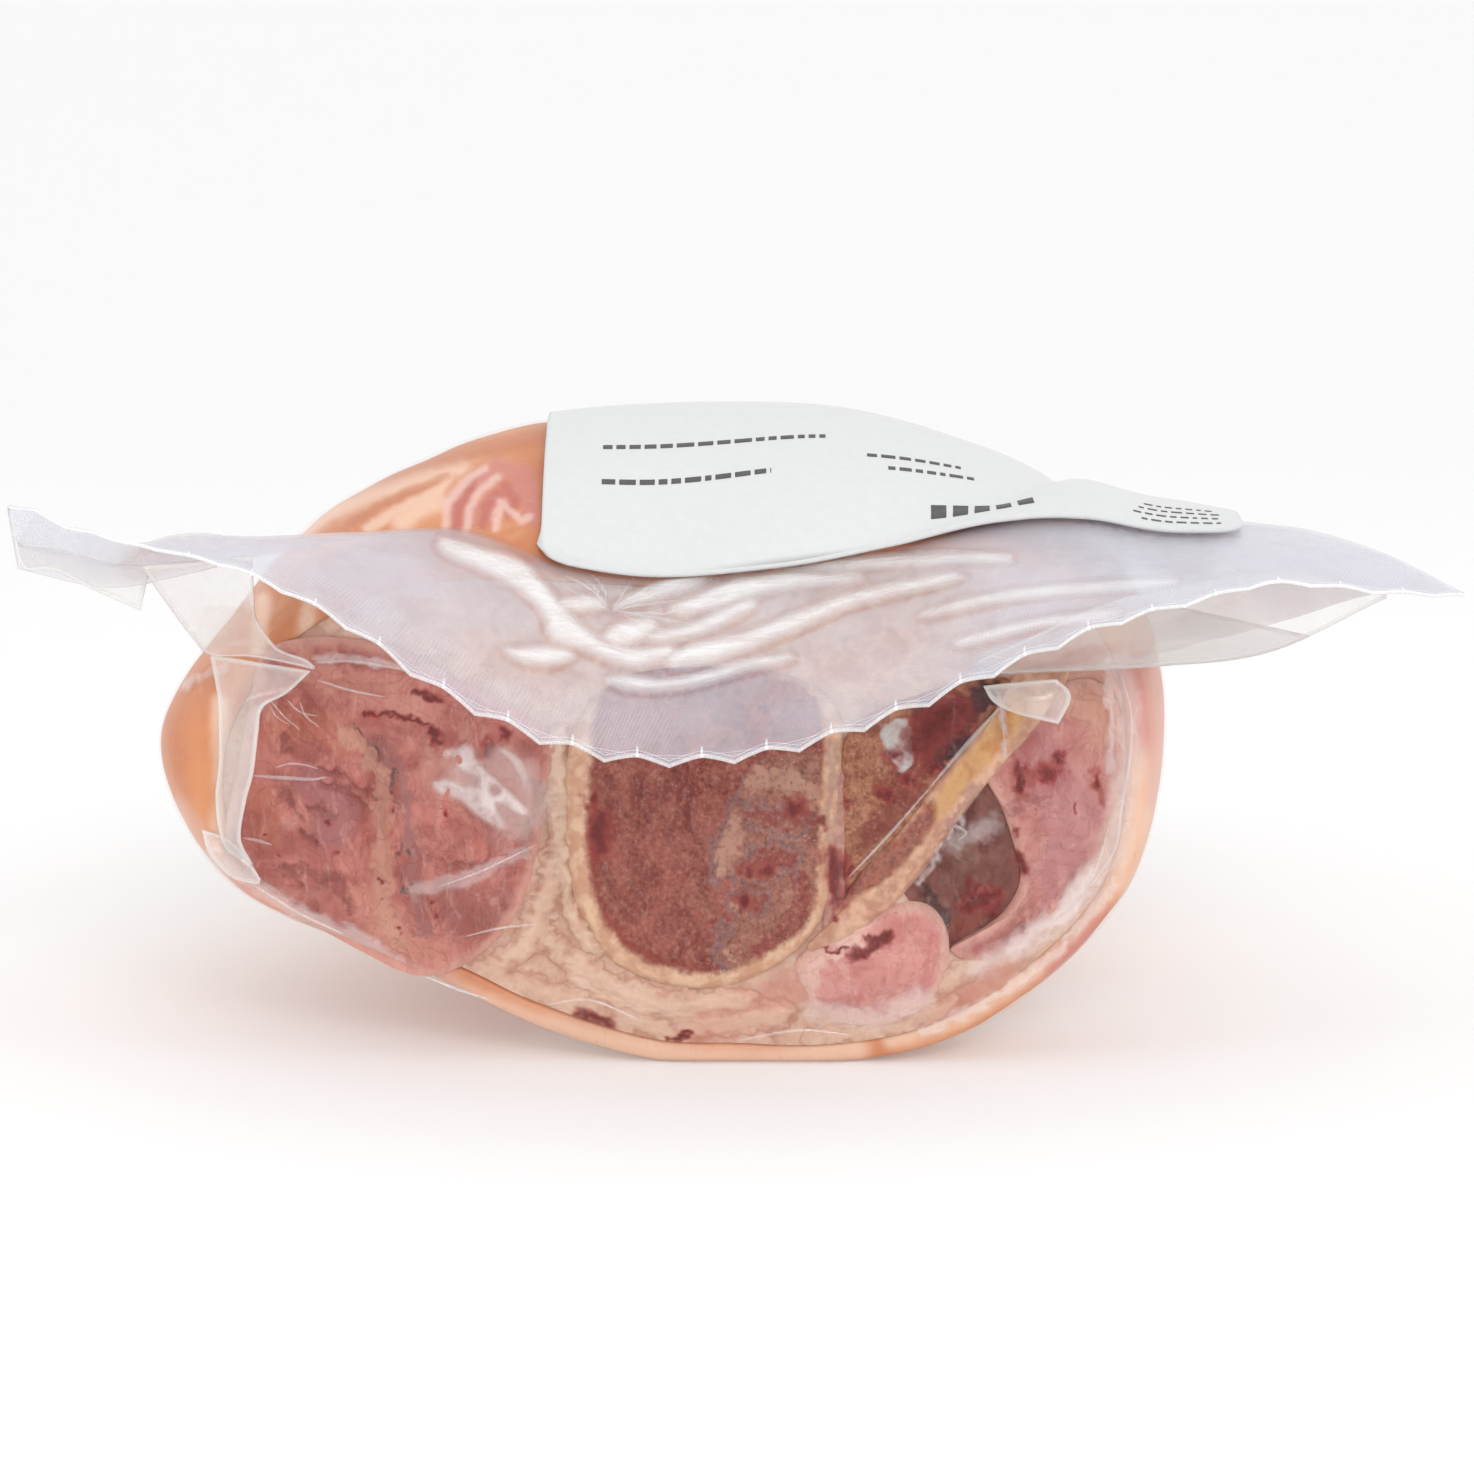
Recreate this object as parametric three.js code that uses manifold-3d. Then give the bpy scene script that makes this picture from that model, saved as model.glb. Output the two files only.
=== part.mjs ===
// A cooked pork shank, sawn across the knuckle end, vacuum packed in a clear bag.
// It lies on its side: the sawn face looks along -Y, the narrow end points along +Y,
// and the bag's toothed mouth seal leaves the top of the sawn face and sags in front of it.
// Millimetres, +Z up, origin under the middle of the whole pack.

import * as THREE from 'three';
import { mergeVertices } from 'three/addons/utils/BufferGeometryUtils.js';
import Module from 'manifold-3d';

const wasm = await Module();
wasm.setup();

// ---------------------------------------------------------------- driving dimensions

const MEAT_LENGTH = 158;          // sawn face to narrow end
const CORE_HEIGHT = 45;           // height of the axis that all sections are drawn around
const NARROW_WIDTH_SHARE = 0.54;  // width of the narrow end as a share of the thick end
const NARROW_HEIGHT_SHARE = 0.62; // the same for its height
const TAPER_START = 36;           // the shank keeps its full width up to here
const NARROW_DRIFT = 6;           // sideways lean of the narrow end
const NARROW_ROUNDING = 22;       // length of the rounded shoulder at the narrow end
const NARROW_FACE_SHARE = 0.62;   // cut face at the narrow end as a share of its section

// Radii around the axis, one every 15 degrees from +X over the top.
// FACE is the rim of the sawn face, BODY is the full section behind it.
const FACE_RADII = [68, 67, 59, 43, 34, 29, 27, 28, 31, 37.5, 47.5, 57.5,
  61.5, 63, 51.5, 45, 43, 42.3, 44.4, 46.4, 51.6, 57.5, 63, 68.5];
const BODY_RADII = [75, 74.5, 69, 60, 53.6, 49, 47.2, 48, 51, 55, 61.5, 67.5,
  75.6, 70.5, 57.5, 49, 46.6, 47, 47, 48.6, 54, 62.5, 68.5, 73.5];
const SHOULDER_SIDE = 24;         // depth over which the rim swells into the body at the sides
const SHOULDER_TOP = 50;          // the same at the top, where it is a long ramp
const SHOULDER_BOTTOM = 38;       // and underneath

// Swells and hollows of the sawn face: centre x, z, half widths, lift towards -Y.
const FACE_SWELLS = [
  { x: -50, z: 36, wide: 11, high: 17, lift: 3.4 },   // outer muscle
  { x: -31, z: 33, wide: 8, high: 18, lift: 3.6 },    // second muscle
  { x: -41, z: 33, wide: 2.6, high: 17, lift: -3.0 }, // seam between them
  { x: -16, z: 26, wide: 3, high: 18, lift: -2.2 },   // gristle beside the large bone
  { x: 6, z: 31, wide: 17, high: 16, lift: 2.4 },     // sawn head of the large bone
  { x: 33, z: 38, wide: 9, high: 11, lift: 2.8 },     // second bone
  { x: 30, z: 16, wide: 10, high: 7, lift: 3.6 },     // small round muscle under it
  { x: 54, z: 33, wide: 10, high: 18, lift: 3.4 },    // large muscle on the right
  { x: 42, z: 28, wide: 5, high: 8, lift: -3.2 },     // gap between the muscles
  { x: -4, z: 8, wide: 16, high: 4, lift: 1.4 },      // fat along the bottom
];

// Bag: thickness of the two sheets as they lie on each other.
const SHEET = 1.2;
const TOOTH_PITCH = 8.8;          // pinking cut along the mouth
const TOOTH_DEPTH = 2.0;
const BOW_SKEW = 0.5;             // the film bows most nearer its root

// Mouth seal, station by station across the pack (x): where it leaves the meat (root),
// where its free edge hangs (edge) and how far it bows up between the two.
const MOUTH = [
  { x: -92, rootY: -5, rootZ: 74.2, edgeY: -14, edgeZ: 85.4, bow: 0 },
  { x: -79, rootY: -4, rootZ: 71.4, edgeY: -21.5, edgeZ: 81.6, bow: 0.4 },
  { x: -68, rootY: 0, rootZ: 72.8, edgeY: -26, edgeZ: 79.2, bow: 3.6 },
  { x: -58, rootY: 7, rootZ: 74.6, edgeY: -29, edgeZ: 77, bow: 3.0 },
  { x: -44, rootY: 9, rootZ: 76.4, edgeY: -32, edgeZ: 70.2, bow: 3.8 },
  { x: -29, rootY: 10, rootZ: 77.6, edgeY: -35, edgeZ: 60.2, bow: 4.2 },
  { x: -14, rootY: 4, rootZ: 73.6, edgeY: -37.3, edgeZ: 53.6, bow: 3.4 },
  { x: 0, rootY: 2, rootZ: 72.4, edgeY: -38, edgeZ: 51.3, bow: 1.6 },
  { x: 17, rootY: 3, rootZ: 74, edgeY: -38, edgeZ: 52.9, bow: 1.8 },
  { x: 33, rootY: 6, rootZ: 76.2, edgeY: -36, edgeZ: 57.7, bow: 3.6 },
  { x: 49, rootY: 13, rootZ: 78.6, edgeY: -34, edgeZ: 64.4, bow: 5 },
  { x: 62, rootY: 40, rootZ: 75.5, edgeY: -31, edgeZ: 69.4, bow: 8.6 },
  { x: 74, rootY: 66, rootZ: 52, edgeY: -29, edgeZ: 72.5, bow: 17.2 },
  { x: 85, rootY: 58, rootZ: 54, edgeY: -26.5, edgeZ: 74.8, bow: 13.6 },
  { x: 95, rootY: 34, rootZ: 61, edgeY: -24, edgeZ: 73.8, bow: 10.4 },
  { x: 104, rootY: 8, rootZ: 68.5, edgeY: -22, edgeZ: 72.6, bow: 5.3 },
  { x: 113, rootY: -17, rootZ: 72.2, edgeY: -20, edgeZ: 72.3, bow: 0 },
];

// Slack film under the right end of the mouth seal: its lower fold.
const POCKET = [
  { x: 44, y: -9, z: 59.4 },
  { x: 72, y: -8, z: 60.6 },
  { x: 87, y: -10, z: 63 },
  { x: 102, y: -18, z: 71.8 },
];

// Tent of slack film between the left end of the mouth seal and the meat's shoulder.
const TENT = {
  topLeft: -73,                   // x of its two upper corners, on the mouth seal
  topRight: -57,
  lowLeft: [-66, 10, 60],         // its lower corners, on the meat
  lowRight: [-49.8, -1.5, 59.6],
  hollow: 3,
};

// Tail: the flat double sheet beside the narrow end, closed by the straight factory seal.
const TAIL_START = 66;
const TAIL_END = 187;
const TAIL_HALF_WIDTH = 73;
const TAIL_ROOT_HALF_WIDTH = 60;   // inside the body where the tail begins
const TAIL_SPREAD = 80;           // length over which it comes out of the body
const TAIL_DROOP = 12;
const TAIL_WAVE = 2.6;
const TAIL_WAVE_LENGTH = 49;

// Paper label across the top.
const LABEL_LEFT = -17.6;
const LABEL_RIGHT = 84;
const LABEL_DEPTH = 56;
const LABEL_FRONT = -1.5;            // y of its front edge
const LABEL_THICKNESS = 0.6;
const LABEL_GAP = 0.45;
const LABEL_CORNER = 5;

// ---------------------------------------------------------------- small helpers

const TAU = Math.PI * 2;
const clamp01 = (t) => Math.min(1, Math.max(0, t));
const mix = (a, b, t) => a + (b - a) * t;
const smooth = (t) => clamp01(t) ** 2 * (3 - 2 * clamp01(t));

// Cubic Hermite span from value a to value b with end slopes ma and mb.
function hermite(a, b, ma, mb, t) {
  const t2 = t * t;
  const t3 = t2 * t;
  return (2 * t3 - 3 * t2 + 1) * a + (t3 - 2 * t2 + t) * ma
    + (3 * t2 - 2 * t3) * b + (t3 - t2) * mb;
}

// Smooth closed curve of radii that are evenly spaced in angle.
function ringRadius(radii, angle) {
  const count = radii.length;
  const place = (((angle / TAU) % 1) + 1) % 1 * count;
  const i = Math.floor(place) % count;
  const at = (k) => radii[(i + k + count) % count];
  const slope = (k) => (at(k + 1) - at(k - 1)) / 2;
  return hermite(at(0), at(1), slope(0), slope(1), place - Math.floor(place));
}

// Smooth curve through one field of a list of stations along x.
function along(stations, field, x) {
  const last = stations.length - 1;
  let i = stations.findIndex((s) => s.x > x) - 1;
  if (i < 0) i = x <= stations[0].x ? 0 : last - 1;
  const slope = (k) => {
    const a = stations[Math.max(0, k - 1)];
    const b = stations[Math.min(last, k + 1)];
    return (b[field] - a[field]) / (b.x - a.x);
  };
  const here = stations[i];
  const next = stations[i + 1];
  const span = next.x - here.x;
  const t = clamp01((x - here.x) / span);
  return hermite(here[field], next[field], slope(i) * span, slope(i + 1) * span, t);
}

// Closed geometry from a grid of points, rows by columns, with the faces given as index triples.
function closedGeometry(points, faces) {
  const geometry = new THREE.BufferGeometry();
  geometry.setAttribute('position', new THREE.Float32BufferAttribute(points.flat(), 3));
  geometry.setIndex(faces);
  return geometry;
}

// ---------------------------------------------------------------- the meat in its bag

// How much of the way from rim to full section the surface has come, at depth y.
// At the sides it is a quarter ellipse, at the top a ramp that levels out.
function shoulder(angle, y) {
  const up = Math.max(0, Math.sin(angle)) ** 2;
  const down = Math.max(0, -Math.sin(angle));
  const depth = mix(mix(SHOULDER_SIDE, SHOULDER_TOP, up), SHOULDER_BOTTOM, down);
  const t = clamp01(y / depth);
  const power = mix(0.5, 0.95, up);
  return (1 - (1 - t) ** 2) ** power;
}

// Point of the pack's body at an angle around the axis and a depth y behind the sawn face.
function bodyPoint(angle, y, share = 1) {
  const radius = mix(ringRadius(FACE_RADII, angle), ringRadius(BODY_RADII, angle), shoulder(angle, y));
  const taper = smooth((y - TAPER_START) / (MEAT_LENGTH - TAPER_START));
  const x = radius * share * Math.cos(angle) * mix(1, NARROW_WIDTH_SHARE, taper) + NARROW_DRIFT * taper;
  const z = (CORE_HEIGHT + radius * share * Math.sin(angle)) * mix(1, NARROW_HEIGHT_SHARE, taper);
  return [x, y, Math.max(0, z)];
}

// Relief of the sawn face: swells fade out towards the rim.
function faceRelief(x, z, share) {
  let lift = 0;
  for (const s of FACE_SWELLS) {
    lift += s.lift * Math.exp(-(((x - s.x) / s.wide) ** 2) - ((z - s.z) / s.high) ** 2);
  }
  return -(lift + 1.2) * (1 - share ** 6);
}

// Relief of the cut at the narrow end: a round swell over the two leg bones.
function narrowRelief(share) {
  return 3 * (1 - share ** 2) ** 2;
}

// Whole closed body: rings over the sawn face, along the meat and over the narrow end.
function meatBody() {
  const around = 64;
  const faceRings = 11;
  const bodyRings = 20;
  const endRings = 6;
  const capRings = 5;
  const axisZ = CORE_HEIGHT * NARROW_HEIGHT_SHARE;
  const rings = [];
  for (let i = 1; i <= faceRings; i += 1) {
    const share = Math.sin((i / faceRings) * Math.PI / 2);
    rings.push((angle) => {
      const [x, , z] = bodyPoint(angle, 0, share);
      return [x, faceRelief(x, z, share), z];
    });
  }
  const straight = MEAT_LENGTH - NARROW_ROUNDING;
  for (let i = 1; i <= bodyRings; i += 1) {
    const t = i / bodyRings;
    const y = straight * mix(t ** 1.7, t, 0.35);
    rings.push((angle) => bodyPoint(angle, y));
  }
  const shrink = (angle, y, share) => {
    const [x, , z] = bodyPoint(angle, straight);
    return [NARROW_DRIFT + (x - NARROW_DRIFT) * share, y, axisZ + (z - axisZ) * share];
  };
  for (let i = 1; i <= endRings; i += 1) {
    const turn = (i / endRings) * Math.PI / 2;
    const y = straight + NARROW_ROUNDING * Math.sin(turn);
    const share = mix(NARROW_FACE_SHARE, 1, Math.cos(turn));
    rings.push((angle) => shrink(angle, y, share));
  }
  for (let i = 1; i < capRings; i += 1) {
    const inner = 1 - i / capRings;
    rings.push((angle) => shrink(angle, MEAT_LENGTH + narrowRelief(inner), NARROW_FACE_SHARE * inner));
  }

  const points = [[0, faceRelief(0, CORE_HEIGHT, 0), CORE_HEIGHT]];
  for (const ring of rings) {
    for (let j = 0; j < around; j += 1) points.push(ring((j / around) * TAU));
  }
  points.push([NARROW_DRIFT, MEAT_LENGTH + narrowRelief(0), axisZ]);

  const faces = [];
  const at = (row, j) => 1 + row * around + (j % around);
  const tail = points.length - 1;
  for (let j = 0; j < around; j += 1) {
    faces.push(0, at(0, j), at(0, j + 1));
    for (let row = 0; row + 1 < rings.length; row += 1) {
      faces.push(at(row, j), at(row + 1, j), at(row + 1, j + 1));
      faces.push(at(row, j), at(row + 1, j + 1), at(row, j + 1));
    }
    faces.push(at(rings.length - 1, j), tail, at(rings.length - 1, j + 1));
  }
  return closedGeometry(points, faces);
}

// ---------------------------------------------------------------- sheets of film

// Closed plate around the surface place(u, v): one face lifted by `above` along the
// surface normal, the other by `below`.
function plate(place, columns, rows, below, above) {
  const step = 1e-3;
  const points = [];
  const layer = (lift) => {
    for (let i = 0; i <= rows; i += 1) {
      for (let j = 0; j <= columns; j += 1) {
        const u = j / columns;
        const v = i / rows;
        const p = new THREE.Vector3(...place(u, v));
        const du = new THREE.Vector3(...place(Math.min(1, u + step), v))
          .sub(new THREE.Vector3(...place(Math.max(0, u - step), v)));
        const dv = new THREE.Vector3(...place(u, Math.min(1, v + step)))
          .sub(new THREE.Vector3(...place(u, Math.max(0, v - step))));
        const normal = du.cross(dv).normalize();
        points.push(p.addScaledVector(normal, lift).toArray());
      }
    }
  };
  layer(below);
  layer(above);
  const width = columns + 1;
  const half = width * (rows + 1);
  const faces = [];
  for (let i = 0; i < rows; i += 1) {
    for (let j = 0; j < columns; j += 1) {
      const a = i * width + j;
      const [b, c, d] = [a + 1, a + width, a + width + 1];
      faces.push(a, c, b, b, c, d);
      faces.push(a + half, b + half, c + half, b + half, d + half, c + half);
    }
  }
  const rim = [];
  for (let j = 0; j < columns; j += 1) rim.push(j);
  for (let i = 0; i < rows; i += 1) rim.push(i * width + columns);
  for (let j = columns; j > 0; j -= 1) rim.push(rows * width + j);
  for (let i = rows; i > 0; i -= 1) rim.push(i * width);
  rim.forEach((a, k) => {
    const b = rim[(k + 1) % rim.length];
    faces.push(a, b, b + half, a, b + half, a + half);
  });
  return closedGeometry(points, faces);
}

// Point of the mouth seal: v runs from its root on the meat to the toothed free edge.
function mouthPoint(x, v) {
  const y = mix(along(MOUTH, 'rootY', x), along(MOUTH, 'edgeY', x), v);
  const z = mix(along(MOUTH, 'rootZ', x), along(MOUTH, 'edgeZ', x), v)
    + 4 * v * (1 - v) * (1 + BOW_SKEW * (1 - 2 * v)) * along(MOUTH, 'bow', x);
  return [x, y, z];
}

// The cut runs in shallow teeth, so the free edge swings in and out by one tooth depth.
function mouthSeal() {
  const left = MOUTH[0].x;
  const right = MOUTH[MOUTH.length - 1].x;
  const teeth = Math.round((right - left) / TOOTH_PITCH);
  const perTooth = 4;
  const place = (u, v) => {
    const x = mix(left, right, u);
    const tooth = Math.abs(((u * teeth) % 1) * 2 - 1);
    const reach = Math.abs(along(MOUTH, 'rootY', x) - along(MOUTH, 'edgeY', x)) + 8;
    return mouthPoint(x, v * (1 - (TOOTH_DEPTH * tooth) / reach));
  };
  return plate(place, teeth * perTooth, 6, -SHEET / 2, SHEET / 2);
}

// Slack sheet that joins the lower fold of the pocket to the underside of the mouth seal.
function pocketSheet() {
  const left = POCKET[0].x;
  const right = POCKET[POCKET.length - 1].x;
  const place = (u, v) => {
    const x = mix(left, right, u);
    const [, topY, topZ] = mouthPoint(x, 0.9);
    return [x, mix(along(POCKET, 'y', x), topY, v), mix(along(POCKET, 'z', x), topZ - 0.2, v)];
  };
  return plate(place, 20, 4, -SHEET / 2, SHEET / 2);
}

// Slack sheet that runs from the pocket's lower fold back to the meat.
function pocketFloor() {
  const left = POCKET[0].x;
  const right = 92;
  const place = (u, v) => {
    const x = mix(left, right, u);
    const backY = mix(6, 34, u);
    return [mix(x, Math.min(x, 70), v), mix(along(POCKET, 'y', x), backY, v),
      mix(along(POCKET, 'z', x), along(POCKET, 'z', x) - 1, v)];
  };
  return plate(place, 14, 4, -SHEET / 2, SHEET / 2);
}

// Four-cornered tent of film at the left shoulder, hollowed a little towards the meat.
function tentSheet() {
  const place = (u, v) => {
    const top = mouthPoint(mix(TENT.topLeft, TENT.topRight, u), 0.5);
    return top.map((start, k) => {
      const low = mix(TENT.lowLeft[k], TENT.lowRight[k], u);
      const hollow = k === 1 ? 4 * TENT.hollow * v * (1 - v) : 0;
      return mix(start, low, v) + hollow;
    });
  };
  return plate(place, 8, 6, -SHEET / 2, SHEET / 2);
}

// Flat tail: it follows the middle height of the body and droops and ripples at the seal.
function tailSheet() {
  const place = (u, v) => {
    const y = mix(TAIL_START, TAIL_END, v);
    const spread = smooth((y - TAIL_START) / TAIL_SPREAD);
    const x = mix(-1, 1, u) * mix(TAIL_ROOT_HALF_WIDTH, TAIL_HALF_WIDTH, spread);
    const taper = smooth((y - TAPER_START) / (MEAT_LENGTH - TAPER_START));
    const middle = CORE_HEIGHT * mix(1, NARROW_HEIGHT_SHARE, taper);
    const past = smooth((y - MEAT_LENGTH * 0.8) / (TAIL_END - MEAT_LENGTH * 0.8));
    const ripple = TAIL_WAVE * Math.sin((x / TAIL_WAVE_LENGTH) * TAU + 0.6) * past;
    return [x + NARROW_DRIFT * taper, y, middle - TAIL_DROOP * past + ripple];
  };
  return plate(place, 24, 10, -SHEET / 2, SHEET / 2);
}

// ---------------------------------------------------------------- the label

// Height of the body's upper surface over a point of the plan.
function bodyTop(x, y) {
  if (y < 0) return 0;
  const steps = 90;
  let before = bodyPoint(0, y);
  for (let i = 1; i <= steps; i += 1) {
    const after = bodyPoint((i / steps) * Math.PI, y);
    if ((before[0] - x) * (after[0] - x) <= 0) {
      const t = (before[0] - x) / (before[0] - after[0] || 1);
      return mix(before[2], after[2], t);
    }
    before = after;
  }
  return 0;
}

// Height of the mouth seal's upper side over a point of the plan.
function mouthTop(x, y) {
  const root = along(MOUTH, 'rootY', x);
  const edge = along(MOUTH, 'edgeY', x);
  const v = (root - y) / (root - edge);
  if (v < -0.08 || v > 1) return 0;
  const slope = (mouthPoint(x, v + 0.02)[2] - mouthPoint(x, v)[2]) / (0.02 * (root - edge));
  return mouthPoint(x, v)[2] + (SHEET / 2) * Math.sqrt(1 + slope * slope);
}

// The label bridges both, so it takes a softened maximum of the two heights.
function packTop(x, y) {
  const sharpness = 1.5;
  const a = bodyTop(x, y);
  const b = mouthTop(x, y);
  const top = Math.max(a, b);
  return top + Math.log(Math.exp((a - top) * sharpness) + Math.exp((b - top) * sharpness)) / sharpness;
}

// Paper plate with rounded front corners, lying a film's thickness above the bag.
function labelPlate() {
  const place = (u, v) => {
    const x = mix(LABEL_LEFT, LABEL_RIGHT, u);
    const fromEnd = Math.min(x - LABEL_LEFT, LABEL_RIGHT - x);
    const inset = Math.max(0, LABEL_CORNER - fromEnd);
    const round = LABEL_CORNER - Math.sqrt(Math.max(0, LABEL_CORNER ** 2 - inset ** 2));
    const front = LABEL_FRONT + round;
    const back = LABEL_FRONT + LABEL_DEPTH - round;
    const y = mix(front, back, v);
    return [x, y, packTop(x, y)];
  };
  return plate(place, 28, 12, LABEL_GAP, LABEL_GAP + LABEL_THICKNESS);
}

// ---------------------------------------------------------------- joining and placing

function solidOf(geometry) {
  const merged = mergeVertices(geometry, 1e-5);
  const mesh = new wasm.Mesh({
    numProp: 3,
    vertProperties: new Float32Array(merged.attributes.position.array),
    triVerts: new Uint32Array(merged.index.array),
  });
  return new wasm.Manifold(mesh);
}

function geometryOf(solid) {
  const { vertProperties, triVerts } = solid.getMesh();
  const geometry = new THREE.BufferGeometry();
  geometry.setAttribute('position', new THREE.BufferAttribute(new Float32Array(vertProperties), 3));
  geometry.setIndex(new THREE.BufferAttribute(new Uint32Array(triVerts), 1));
  return geometry;
}

const pack = [mouthSeal(), pocketSheet(), pocketFloor(), tentSheet(), tailSheet()]
  .map(solidOf)
  .reduce((whole, sheet) => whole.add(sheet), solidOf(meatBody()));
const bagGeometry = geometryOf(pack);
bagGeometry.computeBoundingBox();
const box = bagGeometry.boundingBox;

const bag = new THREE.Mesh(bagGeometry, new THREE.MeshStandardMaterial({
  color: 0xc98b76, roughness: 0.25, metalness: 0,
}));
bag.name = 'bag';

const label = new THREE.Mesh(labelPlate(), new THREE.MeshStandardMaterial({
  color: 0xf4f4f2, roughness: 0.55, metalness: 0,
}));
label.name = 'label';

const group = new THREE.Group();
group.add(bag, label);
group.position.set(-(box.min.x + box.max.x) / 2, -(box.min.y + box.max.y) / 2, -box.min.z);

export default group;
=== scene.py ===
# %% [markdown]
# # A cooked pork shank in a vacuum bag
#
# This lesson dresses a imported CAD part: a pork shank, sawn across the knuckle, sealed in a clear
# bag with a paper label. The CAD part is one solid for the bag and one for the label. Here the bag
# becomes what the eye finds in it: a tight skin of film, milky sheets where two films lie on each
# other, and behind them rind, fat, muscles and sawn bone.
#
# Every shape is a function of two parameters, worked out with numpy as whole arrays. All lengths
# are millimetres in one drawing: x to the right, y into the pack, z up, with zero on the floor
# below the middle of the sawn face. One step at the end moves the drawing into the part's frame.

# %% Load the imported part
import math

import bpy
import numpy as np
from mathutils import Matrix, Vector


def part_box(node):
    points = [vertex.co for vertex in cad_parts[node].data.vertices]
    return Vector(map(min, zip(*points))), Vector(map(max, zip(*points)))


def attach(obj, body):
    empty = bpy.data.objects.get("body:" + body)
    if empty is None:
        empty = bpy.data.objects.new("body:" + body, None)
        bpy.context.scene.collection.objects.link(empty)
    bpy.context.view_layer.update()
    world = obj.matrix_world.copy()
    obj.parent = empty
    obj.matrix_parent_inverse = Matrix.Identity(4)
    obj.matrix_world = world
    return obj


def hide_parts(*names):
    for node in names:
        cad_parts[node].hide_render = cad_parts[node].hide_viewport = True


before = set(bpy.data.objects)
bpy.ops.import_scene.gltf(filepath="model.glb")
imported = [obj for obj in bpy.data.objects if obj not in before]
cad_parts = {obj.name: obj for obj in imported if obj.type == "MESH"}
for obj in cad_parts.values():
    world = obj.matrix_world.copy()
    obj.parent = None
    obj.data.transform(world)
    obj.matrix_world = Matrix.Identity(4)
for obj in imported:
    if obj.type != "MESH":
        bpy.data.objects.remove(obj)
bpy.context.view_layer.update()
MM = 0.001
DRAWING_ZERO = np.array([-10.4745, -74.2542, 0.0])  # mm from the part's origin to the drawing's
bag_low, bag_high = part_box("bag")
print("bag", [round(v / MM, 1) for v in bag_low], [round(v / MM, 1) for v in bag_high])

# %% [markdown]
# ## The form of the meat
#
# The meat is a ring of radii around a level axis. The sawn face has one ring, the full body behind
# it another, and a shoulder blends them over a few centimetres. Towards the narrow end the section
# shrinks. These are the same driving dimensions as in the CAD source, so the looks fit the solid.

# %% Driving dimensions of the meat
TURN = 2 * math.pi
MEAT_LENGTH = 158.0
CORE_HEIGHT = 45.0
NARROW_WIDTH_SHARE, NARROW_HEIGHT_SHARE = 0.54, 0.62
TAPER_START = 36.0
NARROW_DRIFT = 6.0
NARROW_ROUNDING = 22.0
NARROW_FACE_SHARE = 0.62
NARROW_DOME = 3.0
STRAIGHT_LENGTH = MEAT_LENGTH - NARROW_ROUNDING
# 24 radii each, from the right, upwards round the ring
FACE_RADII = np.array([68, 67, 59, 43, 34, 29, 27, 28, 31, 37.5, 47.5, 57.5,
                       61.5, 63, 51.5, 45, 43, 42.3, 44.4, 46.4, 51.6, 57.5, 63, 68.5])
BODY_RADII = np.array([75, 74.5, 69, 60, 53.6, 49, 47.2, 48, 51, 55, 61.5, 67.5,
                       75.6, 70.5, 57.5, 49, 46.6, 47, 47, 48.6, 54, 62.5, 68.5, 73.5])
SHOULDER_SIDE, SHOULDER_TOP, SHOULDER_BOTTOM = 24.0, 50.0, 38.0
# swells of the sawn face: centre x, centre z, half width, half height, lift towards the camera
FACE_SWELLS = [(-50, 36, 11, 17, 3.4), (-31, 33, 8, 18, 3.6), (-41, 33, 2.6, 17, -3),
    (-16, 26, 3, 18, -2.2), (6, 31, 17, 16, 2.4), (33, 38, 9, 11, 2.8), (30, 16, 10, 7, 3.6),
    (54, 33, 10, 18, 3.4), (42, 28, 5, 8, -3.2), (-4, 8, 16, 4, 1.4)]


def mix(a, b, t):
    """a where t is 0, b where t is 1, and a straight line between."""
    return a + (b - a) * t


def smooth(t):
    """An S from 0 to 1: 3t squared minus 2t cubed, with t held between 0 and 1."""
    t = np.clip(t, 0, 1)
    return t * t * (3 - 2 * t)


def hermite(a, b, slope_a, slope_b, t):
    """The cubic that leaves a with one slope and reaches b with the other."""
    t2, t3 = t * t, t * t * t
    return ((2 * t3 - 3 * t2 + 1) * a + (t3 - 2 * t2 + t) * slope_a
            + (3 * t2 - 2 * t3) * b + (t3 - t2) * slope_b)


def ring_radius(radii, angle):
    """Closed smooth curve through radii evenly spaced in angle: Hermite spans with central slopes."""
    place = (angle / TURN % 1) * len(radii)
    i = np.floor(place).astype(int) % len(radii)
    slope = (np.roll(radii, -1) - np.roll(radii, 1)) / 2
    j = (i + 1) % len(radii)
    return hermite(radii[i], radii[j], slope[i], slope[j], place - np.floor(place))


def body_point(angle, y, share=1.0):
    """Point of the body: the radius is the face's, growing to the body's over the shoulder's depth
    as a quarter ellipse at the sides and a ramp on top; then the section shrinks with depth."""
    up = np.maximum(0, np.sin(angle)) ** 2
    down = np.maximum(0, -np.sin(angle))
    depth = mix(mix(SHOULDER_SIDE, SHOULDER_TOP, up), SHOULDER_BOTTOM, down)
    t = np.clip(y / depth, 0, 1)
    grown = (1 - (1 - t) ** 2) ** mix(0.5, 0.95, up)
    radius = mix(ring_radius(FACE_RADII, angle), ring_radius(BODY_RADII, angle), grown) * share
    taper = smooth((y - TAPER_START) / (MEAT_LENGTH - TAPER_START))
    x = radius * np.cos(angle) * mix(1, NARROW_WIDTH_SHARE, taper) + NARROW_DRIFT * taper
    z = (CORE_HEIGHT + radius * np.sin(angle)) * mix(1, NARROW_HEIGHT_SHARE, taper)
    return np.stack(np.broadcast_arrays(x, y, np.maximum(0, z)), -1)


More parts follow.
